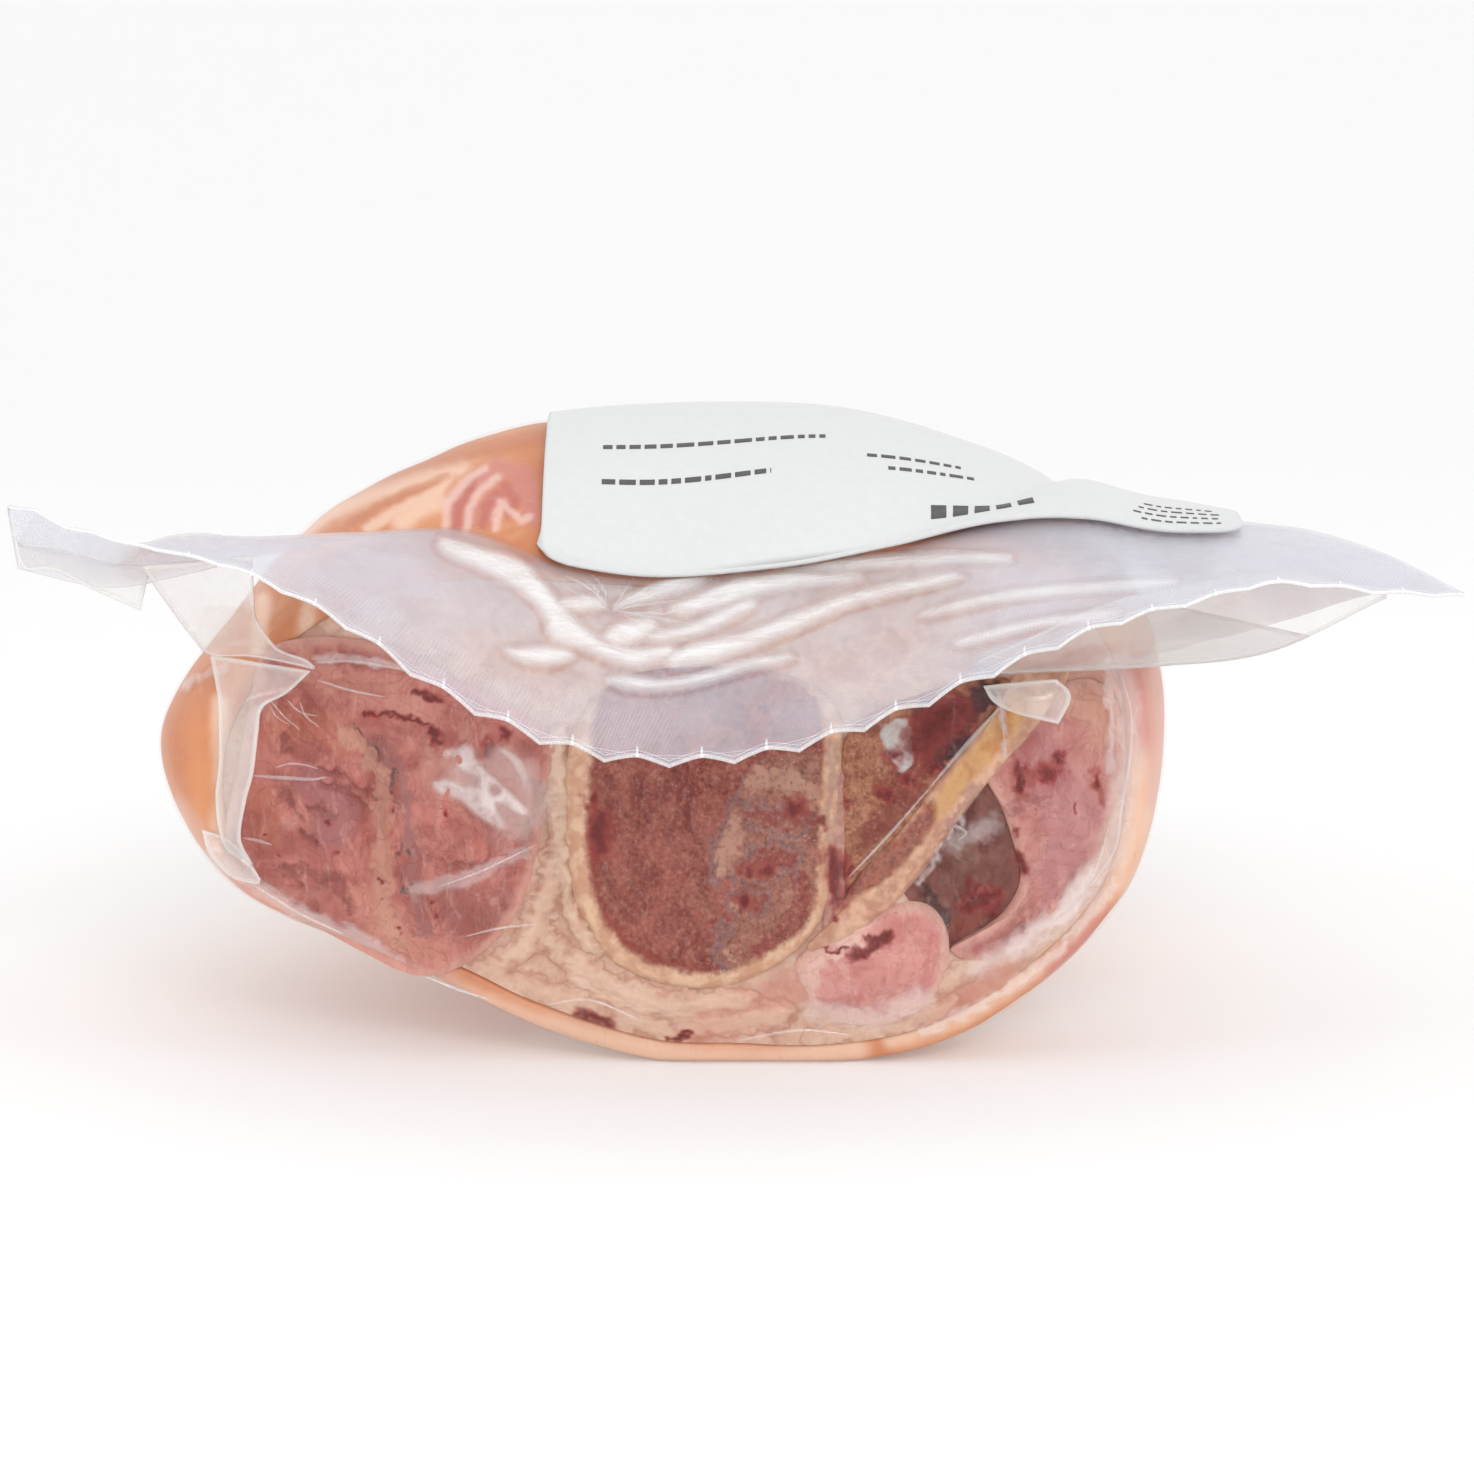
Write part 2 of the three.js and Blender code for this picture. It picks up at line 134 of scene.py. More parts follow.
def face_film(x, z):
    """Depth y of the film over the sawn face: bell-shaped swells that fade out at the rim."""
    angle = np.arctan2(z - CORE_HEIGHT, x)
    share = np.hypot(x, z - CORE_HEIGHT) / ring_radius(FACE_RADII, angle)
    lift = 1.2 + sum(height * np.exp(-((x - cx) / wide) ** 2 - ((z - cz) / high) ** 2)
                     for cx, cz, wide, high, height in FACE_SWELLS)
    return -lift * (1 - np.clip(share, 0, 1) ** 6)


print("sawn face swells by up to", round(-float(face_film(np.array(6.0), np.array(31.0))), 1), "mm")

# %% [markdown]
# ## Making meshes from arrays
#
# A surface is an array of points in rows and columns. Its faces are index arithmetic on that grid.
# Three kinds cover everything here: a ringed body closed by a pole at each end, a plate that is a
# sheet with thickness, and a strand, which is a tapering thread with an oval section. Each writes
# its extra numbers, such as how bloody a place is, as attributes that the materials read.

# %% Mesh builders
def grid_faces(rows, columns, wrap):
    """Quads between neighbouring rows and columns; with wrap the last column joins the first."""
    i, j = np.meshgrid(np.arange(rows - 1), np.arange(columns if wrap else columns - 1), indexing="ij")
    k = (j + 1) % columns
    return np.stack([i * columns + j, i * columns + k, (i + 1) * columns + k, (i + 1) * columns + j],
                    -1).reshape(-1, 4)


def turned_outwards(points, quads, fans):
    """The same faces, all flipped if the volume they enclose comes out negative."""
    def volume(faces):
        a, b, c = (points[faces[:, k]] for k in range(3))
        return np.einsum("ij,ij->i", a, np.cross(b, c)).sum()
    total = volume(quads[:, [0, 1, 2]]) + volume(quads[:, [0, 2, 3]])
    total += volume(fans) if len(fans) else 0.0
    return (quads, fans) if total > 0 else (quads[:, ::-1], fans[:, ::-1])


PIECES = {}


def make_piece(name, points, quads, fans, material, node, fields=None):
    """Writes points (mm, in the drawing) and faces into a mesh object that rides on the part."""
    quads, fans = turned_outwards(points, quads, fans)
    mesh = bpy.data.meshes.new(name)
    corners = np.concatenate([quads.ravel(), fans.ravel()]).astype(np.int32)
    starts = np.concatenate([np.arange(len(quads)) * 4, len(quads) * 4 + np.arange(len(fans)) * 3])
    mesh.vertices.add(len(points))
    mesh.vertices.foreach_set("co", ((points + DRAWING_ZERO) * MM).astype(np.float32).ravel())
    mesh.loops.add(len(corners))
    mesh.loops.foreach_set("vertex_index", corners)
    mesh.polygons.add(len(starts))
    mesh.polygons.foreach_set("loop_start", starts.astype(np.int32))
    mesh.polygons.foreach_set("use_smooth", np.ones(len(starts), bool))
    mesh.update(calc_edges=True)
    for key, values in (fields or {}).items():
        layer = mesh.attributes.new(key, "FLOAT", "POINT")
        layer.data.foreach_set("value", np.asarray(values, np.float32).ravel())
    mesh.materials.append(material)
    piece = bpy.data.objects.new(name, mesh)
    bpy.context.scene.collection.objects.link(piece)
    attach(piece, "root")
    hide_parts(node)
    PIECES[name] = len(quads) * 2 + len(fans)
    print(name, PIECES[name], "triangles")
    return piece


def ringed(name, rings, material, fields=None, node="bag"):
    """A closed body: rows of rings, and a fan to the middle of the first and of the last ring."""
    rows, around, _ = rings.shape
    points = np.concatenate([rings[:1].mean(1), rings.reshape(-1, 3), rings[-1:].mean(1)])
    quads = grid_faces(rows, around, True) + 1
    j = np.arange(around)
    k = (j + 1) % around
    base = 1 + (rows - 1) * around
    start = np.stack([np.zeros_like(j), 1 + k, 1 + j], -1)
    end = np.stack([np.full_like(j, rows * around + 1), base + j, base + k], -1)
    flat = {key: np.concatenate([[v[0].mean()], v.ravel(), [v[-1].mean()]])
            for key, v in (fields or {}).items()}
    return make_piece(name, points, quads, np.concatenate([start, end]), material, node, flat)


# %% Sheets with thickness
def normals_of(surface):
    """Unit normals of a grid of points, from the differences along its rows and columns."""
    normal = np.cross(np.gradient(surface, axis=1), np.gradient(surface, axis=0))
    length = np.linalg.norm(normal, axis=-1, keepdims=True)
    return normal / np.maximum(length, 1e-9)


def plate_arrays(surface, thickness):
    """Both faces of a sheet, half its thickness out along the normal, and the band round its rim."""
    rows, columns, _ = surface.shape
    lift = normals_of(surface) * thickness / 2
    points = np.concatenate([(surface + lift).reshape(-1, 3), (surface - lift).reshape(-1, 3)])
    top = grid_faces(rows, columns, False)
    half = rows * columns
    j, i = np.arange(columns), np.arange(rows)
    rim = np.concatenate([j[:-1], i[:-1] * columns + columns - 1,
                          (rows - 1) * columns + j[:0:-1], i[:0:-1] * columns])
    after = np.roll(rim, -1)
    band = np.stack([rim, rim + half, after + half, after], -1)
    return points, np.concatenate([top, top[:, ::-1] + half, band])


def plate(name, surface, thickness, material, slot, fields=None, node="bag"):
    """A closed thin sheet around a grid of points."""
    points, quads = plate_arrays(surface, thickness)
    both = {key: np.concatenate([v.ravel(), v.ravel()]) for key, v in (fields or {}).items()}
    return make_piece(name, points, quads, np.zeros((0, 3), int), material, node, both)


# %% [markdown]
# ## Marks placed as seen from the front
#
# Blood spots, creases and gleams are lists of short lines in millimetres on the plane of the sawn
# face. A point of any piece belongs to a mark if the straight line from the camera through that
# point meets the mark on that plane. So one list serves the meat, the film in front of it and the
# sheet that hangs further forward, and each mark still lies on its own surface.

# %% Where the camera stands, and lines and outlines on the plane of the face
CAMERA_AT = np.array([10.875, -689.365, 170.289])
CAMERA_AIM = np.array([10.875, 0.0, 48.735])
IMAGE_WIDTH_AT_AIM = 213.73


def seen_on_face(points):
    """x and z where the line from the camera through each point crosses the plane y = 0."""
    reach = CAMERA_AT[1] / (CAMERA_AT[1] - points[..., 1])
    hit = CAMERA_AT + (points - CAMERA_AT) * reach[..., None]
    return hit[..., 0], hit[..., 2]


def on_depth(x, z, y):
    """The point at depth y on the line from the camera through (x, 0, z)."""
    x, z, y = np.broadcast_arrays(np.asarray(x, float), z, y)
    hit = np.stack([x, np.zeros_like(x), z], -1)
    return CAMERA_AT + (hit - CAMERA_AT) * ((y - CAMERA_AT[1]) / -CAMERA_AT[1])[..., None]


def distance_to_line(x, z, line, closed=False):
    """Distance from each point to a line of straight stretches: the least over its stretches."""
    line = np.asarray(line, float)
    ends = np.roll(line, -1, 0) if closed else line[1:]
    starts = line if closed else line[:-1]
    if len(line) == 1:
        return np.hypot(x - line[0, 0], z - line[0, 1])
    best = np.full(np.shape(x), 1e9)
    for (ax, az), (bx, bz) in zip(starts, ends):
        dx, dz = bx - ax, bz - az
        t = np.clip(((x - ax) * dx + (z - az) * dz) / max(dx * dx + dz * dz, 1e-9), 0, 1)
        best = np.minimum(best, np.hypot(x - ax - t * dx, z - az - t * dz))
    return best


# %% Strokes and outlines
def strokes(x, z, marks, wander=0.0):
    """1 on a mark's line, falling as a bell over its half width. A mark is (line, half width).
    Wander pushes the points about by some mm first, so that no mark is a clean capsule."""
    field = np.zeros(np.shape(x))
    flat = np.stack([x, np.zeros_like(x), z], -1)
    if wander:
        x = x + wander * (ripples(flat, 2.6, 51) + 0.5 * ripples(flat, 1.1, 52))
        z = z + wander * (ripples(flat, 2.6, 53) + 0.5 * ripples(flat, 1.1, 54))
    for line, half in marks:
        field = np.maximum(field, np.exp(-(distance_to_line(x, z, line) / half) ** 2))
    return field


def spline(points, count, closed=False):
    """Catmull-Rom curve through the points, resampled to even steps of arc length."""
    p = np.asarray(points, float)
    if closed:
        padded = np.concatenate([p[-1:], p, p[:2]])
    else:
        padded = np.concatenate([2 * p[:1] - p[1:2], p, 2 * p[-1:] - p[-2:-1]])
    spans = len(padded) - 3
    t = np.linspace(0, spans, spans * 24 + 1)
    i = np.minimum(t.astype(int), spans - 1)
    f = (t - i)[:, None]
    a, b, c, d = (padded[i + k] for k in range(4))
    curve = hermite(b, c, (c - a) / 2, (d - b) / 2, f)
    steps = np.linalg.norm(np.diff(curve, axis=0), axis=1)
    length = np.concatenate([[0], np.cumsum(steps)])
    want = np.linspace(0, length[-1], count + 1 if closed else count)
    even = np.stack([np.interp(want, length, curve[:, k]) for k in range(p.shape[1])], -1)
    return even[:-1] if closed else even


def depth_inside(x, z, outline, count=96):
    """Distance to a closed outline in mm, positive inside: crossings of a ray decide which side."""
    ring = spline(outline, count, True)
    after = np.roll(ring, -1, 0)
    inside = np.zeros(np.shape(x), bool)
    for (ax, az), (bx, bz) in zip(ring, after):
        crosses = (az > z) != (bz > z)
        inside ^= crosses & (x < ax + (z - az) / (bz - az + 1e-12) * (bx - ax))
    away = distance_to_line(x, z, ring, True)
    return np.where(inside, away, -away)


def depth_in_any(x, z, outlines, count=96):
    """The greatest of the distances inside several outlines."""
    return np.max([depth_inside(x, z, outline, count) for outline in outlines], axis=0)


# %% Seeded unevenness
def ripples(points, size, seed, count=28):
    """Smooth seeded unevenness between about -1 and 1: sines along random directions, summed."""
    draw = np.random.default_rng(seed)
    way = draw.normal(size=(count, 3))
    way *= (TURN / size * draw.uniform(0.6, 1.7, count) / np.linalg.norm(way, axis=1))[:, None]
    phase = draw.uniform(0, TURN, count)
    return np.sin(points @ way.T + phase).sum(-1) / math.sqrt(count * 1.2)


# %% [markdown]
# ## Materials as recipes
#
# Each finish is one Principled shader with a few nodes in front of it. A small class keeps the
# node lines short. Patterns read Object coordinates, which are metres in the part's frame, or the
# attributes written above, so nothing slides when the view changes.

# %% A small helper for node materials
def tone(red, green, blue):
    """A colour as seen on a screen, 0 to 255, turned into the linear numbers that shaders take."""
    c = np.array([red, green, blue]) / 255
    return tuple(np.where(c <= 0.04045, c / 12.92, ((c + 0.055) / 1.055) ** 2.4)) + (1.0,)


class Recipe:
    """One material: its Principled shader, and one short call for each node in front of it."""

    def __init__(self, name, **sockets):
        self.material = bpy.data.materials.new(name)
        self.material.use_nodes = True
        self.nodes = self.material.node_tree.nodes
        self.links = self.material.node_tree.links
        self.skin = self.nodes["Principled BSDF"]
        self.set(**sockets)

    def set(self, **sockets):
        """Sets or links the shader's sockets; a keyword's underscores stand for spaces."""
        for key, value in sockets.items():
            self.feed(self.skin.inputs[key.replace("_", " ")], value)
        return self

    def feed(self, socket, value):
        """A socket takes a link if the value is another node's output, else the value itself."""
        if isinstance(value, bpy.types.NodeSocket):
            self.links.new(value, socket)
        else:
            socket.default_value = value

    def node(self, kind, *inputs, **settings):
        """Adds a node, fills its inputs in order (None skips one) and returns it."""
        node = self.nodes.new(kind)
        for key, value in settings.items():
            setattr(node, key, value)
        for socket, value in zip(node.inputs, inputs):
            if value is not None:
                self.feed(socket, value)
        return node

    def field(self, name):
        """The number that the mesh carries under this name."""
        return self.node("ShaderNodeAttribute", attribute_name=name).outputs["Fac"]

    def place(self, stretch=(1, 1, 1), turn=(0, 0, 0)):
        """Object coordinates, stretched and turned for patterns with a grain."""
        spot = self.node("ShaderNodeTexCoord").outputs["Object"]
        if stretch == (1, 1, 1) and turn == (0, 0, 0):
            return spot
        mapping = self.node("ShaderNodeMapping", spot)
        mapping.inputs["Scale"].default_value = stretch
        mapping.inputs["Rotation"].default_value = turn
        return mapping.outputs[0]

    def noise(self, size, detail=4.0, rough=0.55, bend=0.0, place=None):
        """Cloudy pattern whose lumps are about size mm wide, as a number around a half."""
        noise = self.node("ShaderNodeTexNoise", place or self.place())
        noise.inputs["Scale"].default_value = 1 / (size * MM)
        noise.inputs["Detail"].default_value = detail
        noise.inputs["Roughness"].default_value = rough
        noise.inputs["Distortion"].default_value = bend
        return noise.outputs["Fac"]

    def veins(self, size, width, bend=1.0, place=None):
        """Thin wandering lines: 1 where a cloudy pattern passes its middle value, 0 beside them."""
        return self.line(self.noise(size, 3.0, 0.5, bend, place), 0.5, 0.0, width, 1.0)

    def math(self, operation, a, b=0.0, clamp=False):
        """One arithmetic step."""
        return self.node("ShaderNodeMath", a, b, operation=operation, use_clamp=clamp).outputs[0]

    def scaled(self, value, factor, offset):
        """value times factor plus offset, in one node."""
        return self.node("ShaderNodeMath", value, factor, offset, operation="MULTIPLY_ADD").outputs[0]

    def step(self, value, low, high, start=0.0, end=1.0):
        """A soft step: start below low, end above high, and an S between."""
        step = self.node("ShaderNodeMapRange", value, low, high, start, end,
                         interpolation_type="SMOOTHSTEP")
        return step.outputs[0]

    def line(self, value, where, low, high, strength):
        """A soft line where value passes a number: full up to low away from it, 0 from high on."""
        off = self.math("ABSOLUTE", self.math("SUBTRACT", value, where))
        return self.step(off, low, high, strength, 0.0)

    def ragged(self, name, size, low, high, amount=0.5):
        """A field from the mesh with noise added, cut to a soft step, for edges with a natural run."""
        wild = self.scaled(self.noise(size, 5.0, 0.65), amount, -amount / 2)
        return self.step(self.math("ADD", self.field(name), wild), low, high)

    def blend(self, share, a, b):
        """Colour a where share is 0, colour b where it is 1."""
        node = self.node("ShaderNodeMix", data_type="RGBA")
        self.feed(node.inputs["Factor"], share)
        self.feed(node.inputs[6], a)
        self.feed(node.inputs[7], b)
        return node.outputs[2]

    def marked(self, colour, there, share, *ragged):
        """Another colour, as strong as share, where a ragged field of the mesh marks it."""
        return self.blend(self.math("MULTIPLY", self.ragged(*ragged), share), colour, there)

    def bump(self, height, distance, strength=1.0):
        """Surface detail: a height between 0 and 1 that stands for distance mm."""
        bump = self.node("ShaderNodeBump")
        bump.inputs["Strength"].default_value = strength
        bump.inputs["Distance"].default_value = distance * MM
        self.feed(bump.inputs["Height"], height)
        return bump.outputs[0]

    def see_through(self, cover):
        """Lets what is behind show by one minus cover."""
        clear = self.node("ShaderNodeBsdfTransparent")
        mixer = self.node("ShaderNodeMixShader")
        self.feed(mixer.inputs[0], cover)
        self.links.new(clear.outputs[0], mixer.inputs[1])
        self.links.new(self.skin.outputs[0], mixer.inputs[2])
        self.links.new(mixer.outputs[0], self.nodes["Material Output"].inputs["Surface"])


# %% [markdown]
# ## The sheets of the mouth
#
# The bag's mouth is a flat seal with a pinked edge. It is described station by station across the
# pack: where it leaves the meat, where its free edge hangs, and how far it bows up between.

# %% Stations of the mouth seal
SOLID_SHEET = 1.2      # thickness of the sheet in the CAD part, which the label lies on
SEAL_THICKNESS = 0.5
TOOTH_PITCH, TOOTH_DEPTH = 8.8, 2.0
BOW_SKEW = 0.5
# x, then y and z of the root, y and z of the free edge, and the bow
MOUTH = np.array([ [-92, -5, 74.2, -14, 85.4, 0], [-79, -4, 71.4, -21.5, 81.6, 0.4],
    [-68, 0, 72.8, -26, 79.2, 3.6], [-58, 7, 74.6, -29, 77, 3], [-44, 9, 76.4, -32, 70.2, 3.8],
    [-29, 10, 77.6, -35, 60.2, 4.2], [-14, 4, 73.6, -37.3, 53.6, 3.4], [0, 2, 72.4, -38, 51.3, 1.6],
    [17, 3, 74, -38, 52.9, 1.8], [33, 6, 76.2, -36, 57.7, 3.6], [49, 13, 78.6, -34, 64.4, 5],
    [62, 40, 75.5, -31, 69.4, 8.6], [74, 66, 52, -29, 72.5, 17.2], [85, 58, 54, -26.5, 74.8, 13.6],
    [95, 34, 61, -24, 73.8, 10.4], [104, 8, 68.5, -22, 72.6, 5.3], [113, -17, 72.2, -20, 72.3, 0]])
ROOT_Y, ROOT_Z, EDGE_Y, EDGE_Z, BOW = 1, 2, 3, 4, 5


def along(stations, column, x):
    """Smooth curve through one column of a list of stations: Hermite spans with central slopes."""
    at, value = stations[:, 0], stations[:, column]
    slope = np.empty_like(value)
    slope[1:-1] = (value[2:] - value[:-2]) / (at[2:] - at[:-2])
    slope[0] = (value[1] - value[0]) / (at[1] - at[0])
    slope[-1] = (value[-1] - value[-2]) / (at[-1] - at[-2])
    i = np.clip(np.searchsorted(at, x, side="right") - 1, 0, len(at) - 2)
    span = at[i + 1] - at[i]
    t = np.clip((x - at[i]) / span, 0, 1)
    return hermite(value[i], value[i + 1], slope[i] * span, slope[i + 1] * span, t)


def mouth_point(x, v):
    """Point of the mouth seal: straight from root (v = 0) to edge (v = 1), plus a skewed bow."""
    y = mix(along(MOUTH, ROOT_Y, x), along(MOUTH, EDGE_Y, x), v)
    z = mix(along(MOUTH, ROOT_Z, x), along(MOUTH, EDGE_Z, x), v)
    z = z + 4 * v * (1 - v) * (1 + BOW_SKEW * (1 - 2 * v)) * along(MOUTH, BOW, x)
    return np.stack(np.broadcast_arrays(x, y, z), -1)


# %% [markdown]
# ## Rind
#
# Cooked rind is a firm, smooth skin, orange where it took the heat and cream where it stayed pale.
# It wraps the meat all round and ends in a cut edge about 3 mm thick at the sawn face. It is one
# closed shell: back from the inside, round the cut edge, then along the outside to the narrow end.
# A Solidify modifier could give the wall, but the round cut edge comes out cleaner as grid rows.

# %% Rind shell
RIND_BELOW_FILM = 0.25
RIND_THICKNESS = 3.2
RIND_POCKET = 12.0     # depth of the hollow that the fat and the muscles fill
CUT_EDGE_Y = 2.6       # where the cut edge's roundness begins, behind the face's plane
CUT_ROUNDNESS, CUT_ROWS = 0.9, 7
RIND_BEHIND_END = 0.8
RIND_MARKS = {
    "pale": [([(-52, 78.4), (-47.7, 81.6), (-41.9, 84.5), (-28.9, 88.2)], 1.5),
        ([(-42.2, 79.3), (-37.6, 82.2), (-31.8, 84.8), (-30.9, 86.2)], 1),
        ([(-37.6, 80.4), (-34, 82.6), (-32.1, 83.3)], 1.8), ([(-57.7, 68.8), (-58.4, 61.5)], 1.4),
        ([(-50.7, 68.8), (-51.6, 61.5)], 1.4), ([(-64, 53.7), (-63.5, 39.4), (-65.1, 33.5)], 1.6),
        ([(69, 56), (70, 40), (66, 28)], 3.4),
        ([(-32, 11), (-20, 6), (-8, 3), (4, 0.5), (16, 0), (28, 2)], 2.8),
        ([(64, 25), (56, 15.5), (44, 7.6), (34, 4)], 2.2)],
    "deep": [([(-52, 81.9), (-44.7, 85.1), (-37.5, 87.7), (-27.4, 90.6), (-17.4, 92.3)], 1.6),
        ([(-45.5, 79.6), (-40.5, 82.6), (-34.7, 85.1), (-31.1, 86.8)], 0.8),
        ([(-70, 58), (-66, 66), (-63, 72)], 3), ([(-70.9, 54.2), (-72.1, 48.3), (-72.1, 40.9)], 3)],
    "pink": [([(-29.7, 79.7), (-29.5, 83.3), (-26.8, 85.9), (-23.2, 88), (-19.6, 86.9), (-18.5, 81.2)], 1.8),
        ([(-27.5, 81.2), (-23.2, 83.3), (-20.3, 84.8)], 2.4), ([(68, 58), (70, 50)], 4.5),
        ([(66, 22), (58, 14)], 2.5)],
    "rosy": [([(-71.3, 36.8), (-67.3, 32), (-61.6, 27.6), (-52.9, 21.3), (-44.2, 18), (-32.6, 12.5)], 3),
        ([(72.1, 58.3), (72.7, 48.3), (72.1, 39.4)], 2.2)],
    "red": [([(-29.6, 79.6), (-29.2, 83), (-27.2, 85.6)], 0.8),
        ([(-25.7, 79.6), (-25.2, 82.6), (-23.6, 84.4)], 0.9),
        ([(-22.5, 85.5), (-21, 83.3), (-22.1, 81.6)], 0.9)],
    # white: painted highlights on the pink patch of the rind
    "white": [([(-31.3, 79.6), (-30.8, 82.9), (-28.9, 85.5), (-25.5, 88)], 0.7),
        ([(-28.1, 79.3), (-27.7, 82.3), (-26.1, 84.8), (-23.5, 86.8)], 0.7),
        ([(-23.2, 83.3), (-21.5, 81.6), (-20.1, 80.4), (-18.9, 81)], 0.6),
        ([(-23.8, 79.3), (-23.5, 81.9), (-22.9, 83)], 0.7)]}


def narrow_end(last, behind, turns, shares):
    """Rings from the last straight one round the edge of the narrow end, as a quarter circle, and
    in to its middle over a shallow dome, all of them some way behind the film."""
    middle = np.array([NARROW_DRIFT, 0, CORE_HEIGHT * NARROW_HEIGHT_SHARE])
    rings = []
    for turn in np.linspace(0, math.pi / 2, turns)[1:]:
        ring = middle + (last - middle) * mix(NARROW_FACE_SHARE, 1, math.cos(turn))
        ring[:, 1] = STRAIGHT_LENGTH + (NARROW_ROUNDING - behind) * math.sin(turn)
        rings.append(ring)
    for share in shares:
        ring = middle + (last - middle) * share * NARROW_FACE_SHARE
        ring[:, 1] = MEAT_LENGTH - behind + NARROW_DOME * (1 - share ** 2) ** 2
        rings.append(ring)
    return rings


def rind_rings(around=520):
    """Rings from the middle of the hollow out, round the cut edge, and back along the outside."""
    angle = np.arange(around) / around * TURN
    radius = ring_radius(FACE_RADII, angle)
    inner = 1 - (RIND_BELOW_FILM + RIND_THICKNESS) / radius
    outer = 1 - RIND_BELOW_FILM / radius
    rows = [body_point(angle, RIND_POCKET, inner * s) for s in (0.15, 0.6, 1.0)]
    rows += [body_point(angle, y, inner) for y in (8.0, 5.0, 3.2)]
    for turn in np.linspace(0, math.pi, CUT_ROWS):
        share = mix(inner, outer, (1 - math.cos(turn)) / 2)
        rows.append(body_point(angle, CUT_EDGE_Y - CUT_ROUNDNESS * math.sin(turn), share))
    for t in np.linspace(0.012, 1, 140) ** 1.3:
        rows.append(body_point(angle, mix(CUT_EDGE_Y, STRAIGHT_LENGTH, t), outer))
    rows += narrow_end(rows[-1], RIND_BEHIND_END, 15, np.linspace(1, 0.05, 12)[1:])
    return np.stack(rows)


# marks of the rind: field, size of their ragged edge in mm, strength, colour; white is a painted highlight
RIND_TINTS_AND_HIGHLIGHTS = (("pale", 9, 0.75, tone(242, 208, 184)), ("deep", 9, 0.6, tone(196, 112, 66)),
              ("pink", 5, 0.85, tone(206, 132, 122)), ("red", 3, 0.6, tone(184, 92, 80)),
              ("white", 2, 0.5, tone(244, 220, 212)), ("rosy", 6, 0.85, tone(222, 166, 148)))


def rind_material():
    """Orange skin with cream clouds, fine pores and a wet shine; tints where marked, and painted
    highlights where marked white.
    """
    r = Recipe("rind", Roughness=0.34, Subsurface_Weight=0.1, Subsurface_Scale=0.004,
               Specular_IOR_Level=0.3)
    orange, amber, cream = tone(202, 124, 80), tone(218, 148, 100), tone(234, 190, 154)
    colour = r.blend(r.step(r.noise(26, 3.0), 0.38, 0.66), orange, amber)
    streaks = r.noise(12, 5.0, 0.6, 1.2, r.place((1, 0.35, 1)))
    colour = r.blend(r.step(streaks, 0.5, 0.78, 0.0, 0.5), colour, cream)
    colour = r.blend(r.step(streaks, 0.24, 0.46, 0.4, 0.0), colour, tone(204, 124, 80))
    for key, size, share, there in RIND_TINTS_AND_HIGHLIGHTS:
        colour = r.marked(colour, there, share, key, size, 0.02, 1.0, 0.22)
    colour = r.blend(r.step(r.noise(1.1, 2.0), 0.66, 0.76, 0.0, 0.3), colour, tone(176, 104, 72))
    r.set(Base_Color=colour)
    r.set(Normal=r.bump(r.noise(2.6, 6.0, 0.6), 0.3, 0.5))
    return r.material


ROWS_BEFORE_OUTSIDE = 6 + CUT_ROWS
RIND_SINK = 0.12                               # soft hollows of the outside, in mm
MARKS_FADE_FROM, MARKS_FADE_OVER = 50.0, 15.0  # the line of sight meets the far side too
RIND_WANDER = 0.12

rind = rind_rings()
seen_x, seen_z = seen_on_face(rind)
outside = np.arange(len(rind))[:, None] >= ROWS_BEFORE_OUTSIDE
sink = RIND_SINK * (1 + ripples(rind * [1, 0.6, 1], 13, 4)) * outside
to_core = np.array([0, 0, CORE_HEIGHT]) - rind
to_core[..., 1] = 0
to_core /= np.linalg.norm(to_core, axis=-1, keepdims=True)
rind_skin = rind_material()
near_side = 1 - smooth((rind[..., 1] - MARKS_FADE_FROM) / MARKS_FADE_OVER)
rind_fields = {key: strokes(seen_x, seen_z, marks, RIND_WANDER) * near_side
               for key, marks in RIND_MARKS.items()}
ringed("rind", rind + to_core * sink[..., None], rind_skin, rind_fields)

# %% [markdown]
# ## What the saw laid open
#
# Seven outlines on the plane of the face say where each tissue lies: one wide muscle on the left,
# three on the right, the heads of two bones, and a ridge of fat. They were measured once, in
# millimetres, and each has only the points that its shape needs. Splines round them off.

# %% Outlines of the tissues
LEFT = [(-57.8, 60.8), (-52.3, 63), (-45, 63), (-37.8, 61.5), (-29.2, 57.1), (-20.6, 52.7), (-16.5, 49),
    (-15.4, 44.6), (-16.7, 39.4), (-17.6, 34.3), (-18.7, 29.1), (-20.8, 23.8), (-23.7, 19.4),
    (-27.4, 15.9), (-32.6, 13.2), (-37.7, 13.4), (-43.2, 16.1), (-49.4, 19.6), (-54.5, 22.7),
    (-59.4, 26.1), (-62.6, 29), (-64.2, 32), (-63.6, 36.3), (-62.4, 41.4), (-61.1, 47.3), (-59.6, 54.7)]
ROUND = [(20.1, 11.9), (19.4, 15.3), (21.8, 17.9), (26.6, 20.9), (31.7, 23.4), (36.1, 24.3), (39.8, 22.8),
    (41.7, 19.4), (41.7, 14.9), (40.3, 10.4), (37, 6.9), (31.8, 5.4), (26.7, 6.3), (22.3, 8.4)]
MIDDLE = [(33.6, 28.4), (35.4, 31.2), (38.1, 34.4), (41, 38.4), (43.6, 41.2), (46, 43.2), (49.4, 43),
    (52.6, 40.6), (54.4, 37.6), (55.6, 33.6), (56.2, 29.8), (55.8, 26), (54.4, 22), (51.6, 18.6),
    (48, 16.6), (44.6, 16), (42, 16), (39.4, 17), (37.2, 20.4), (35.4, 23.4), (33.8, 25.6)]
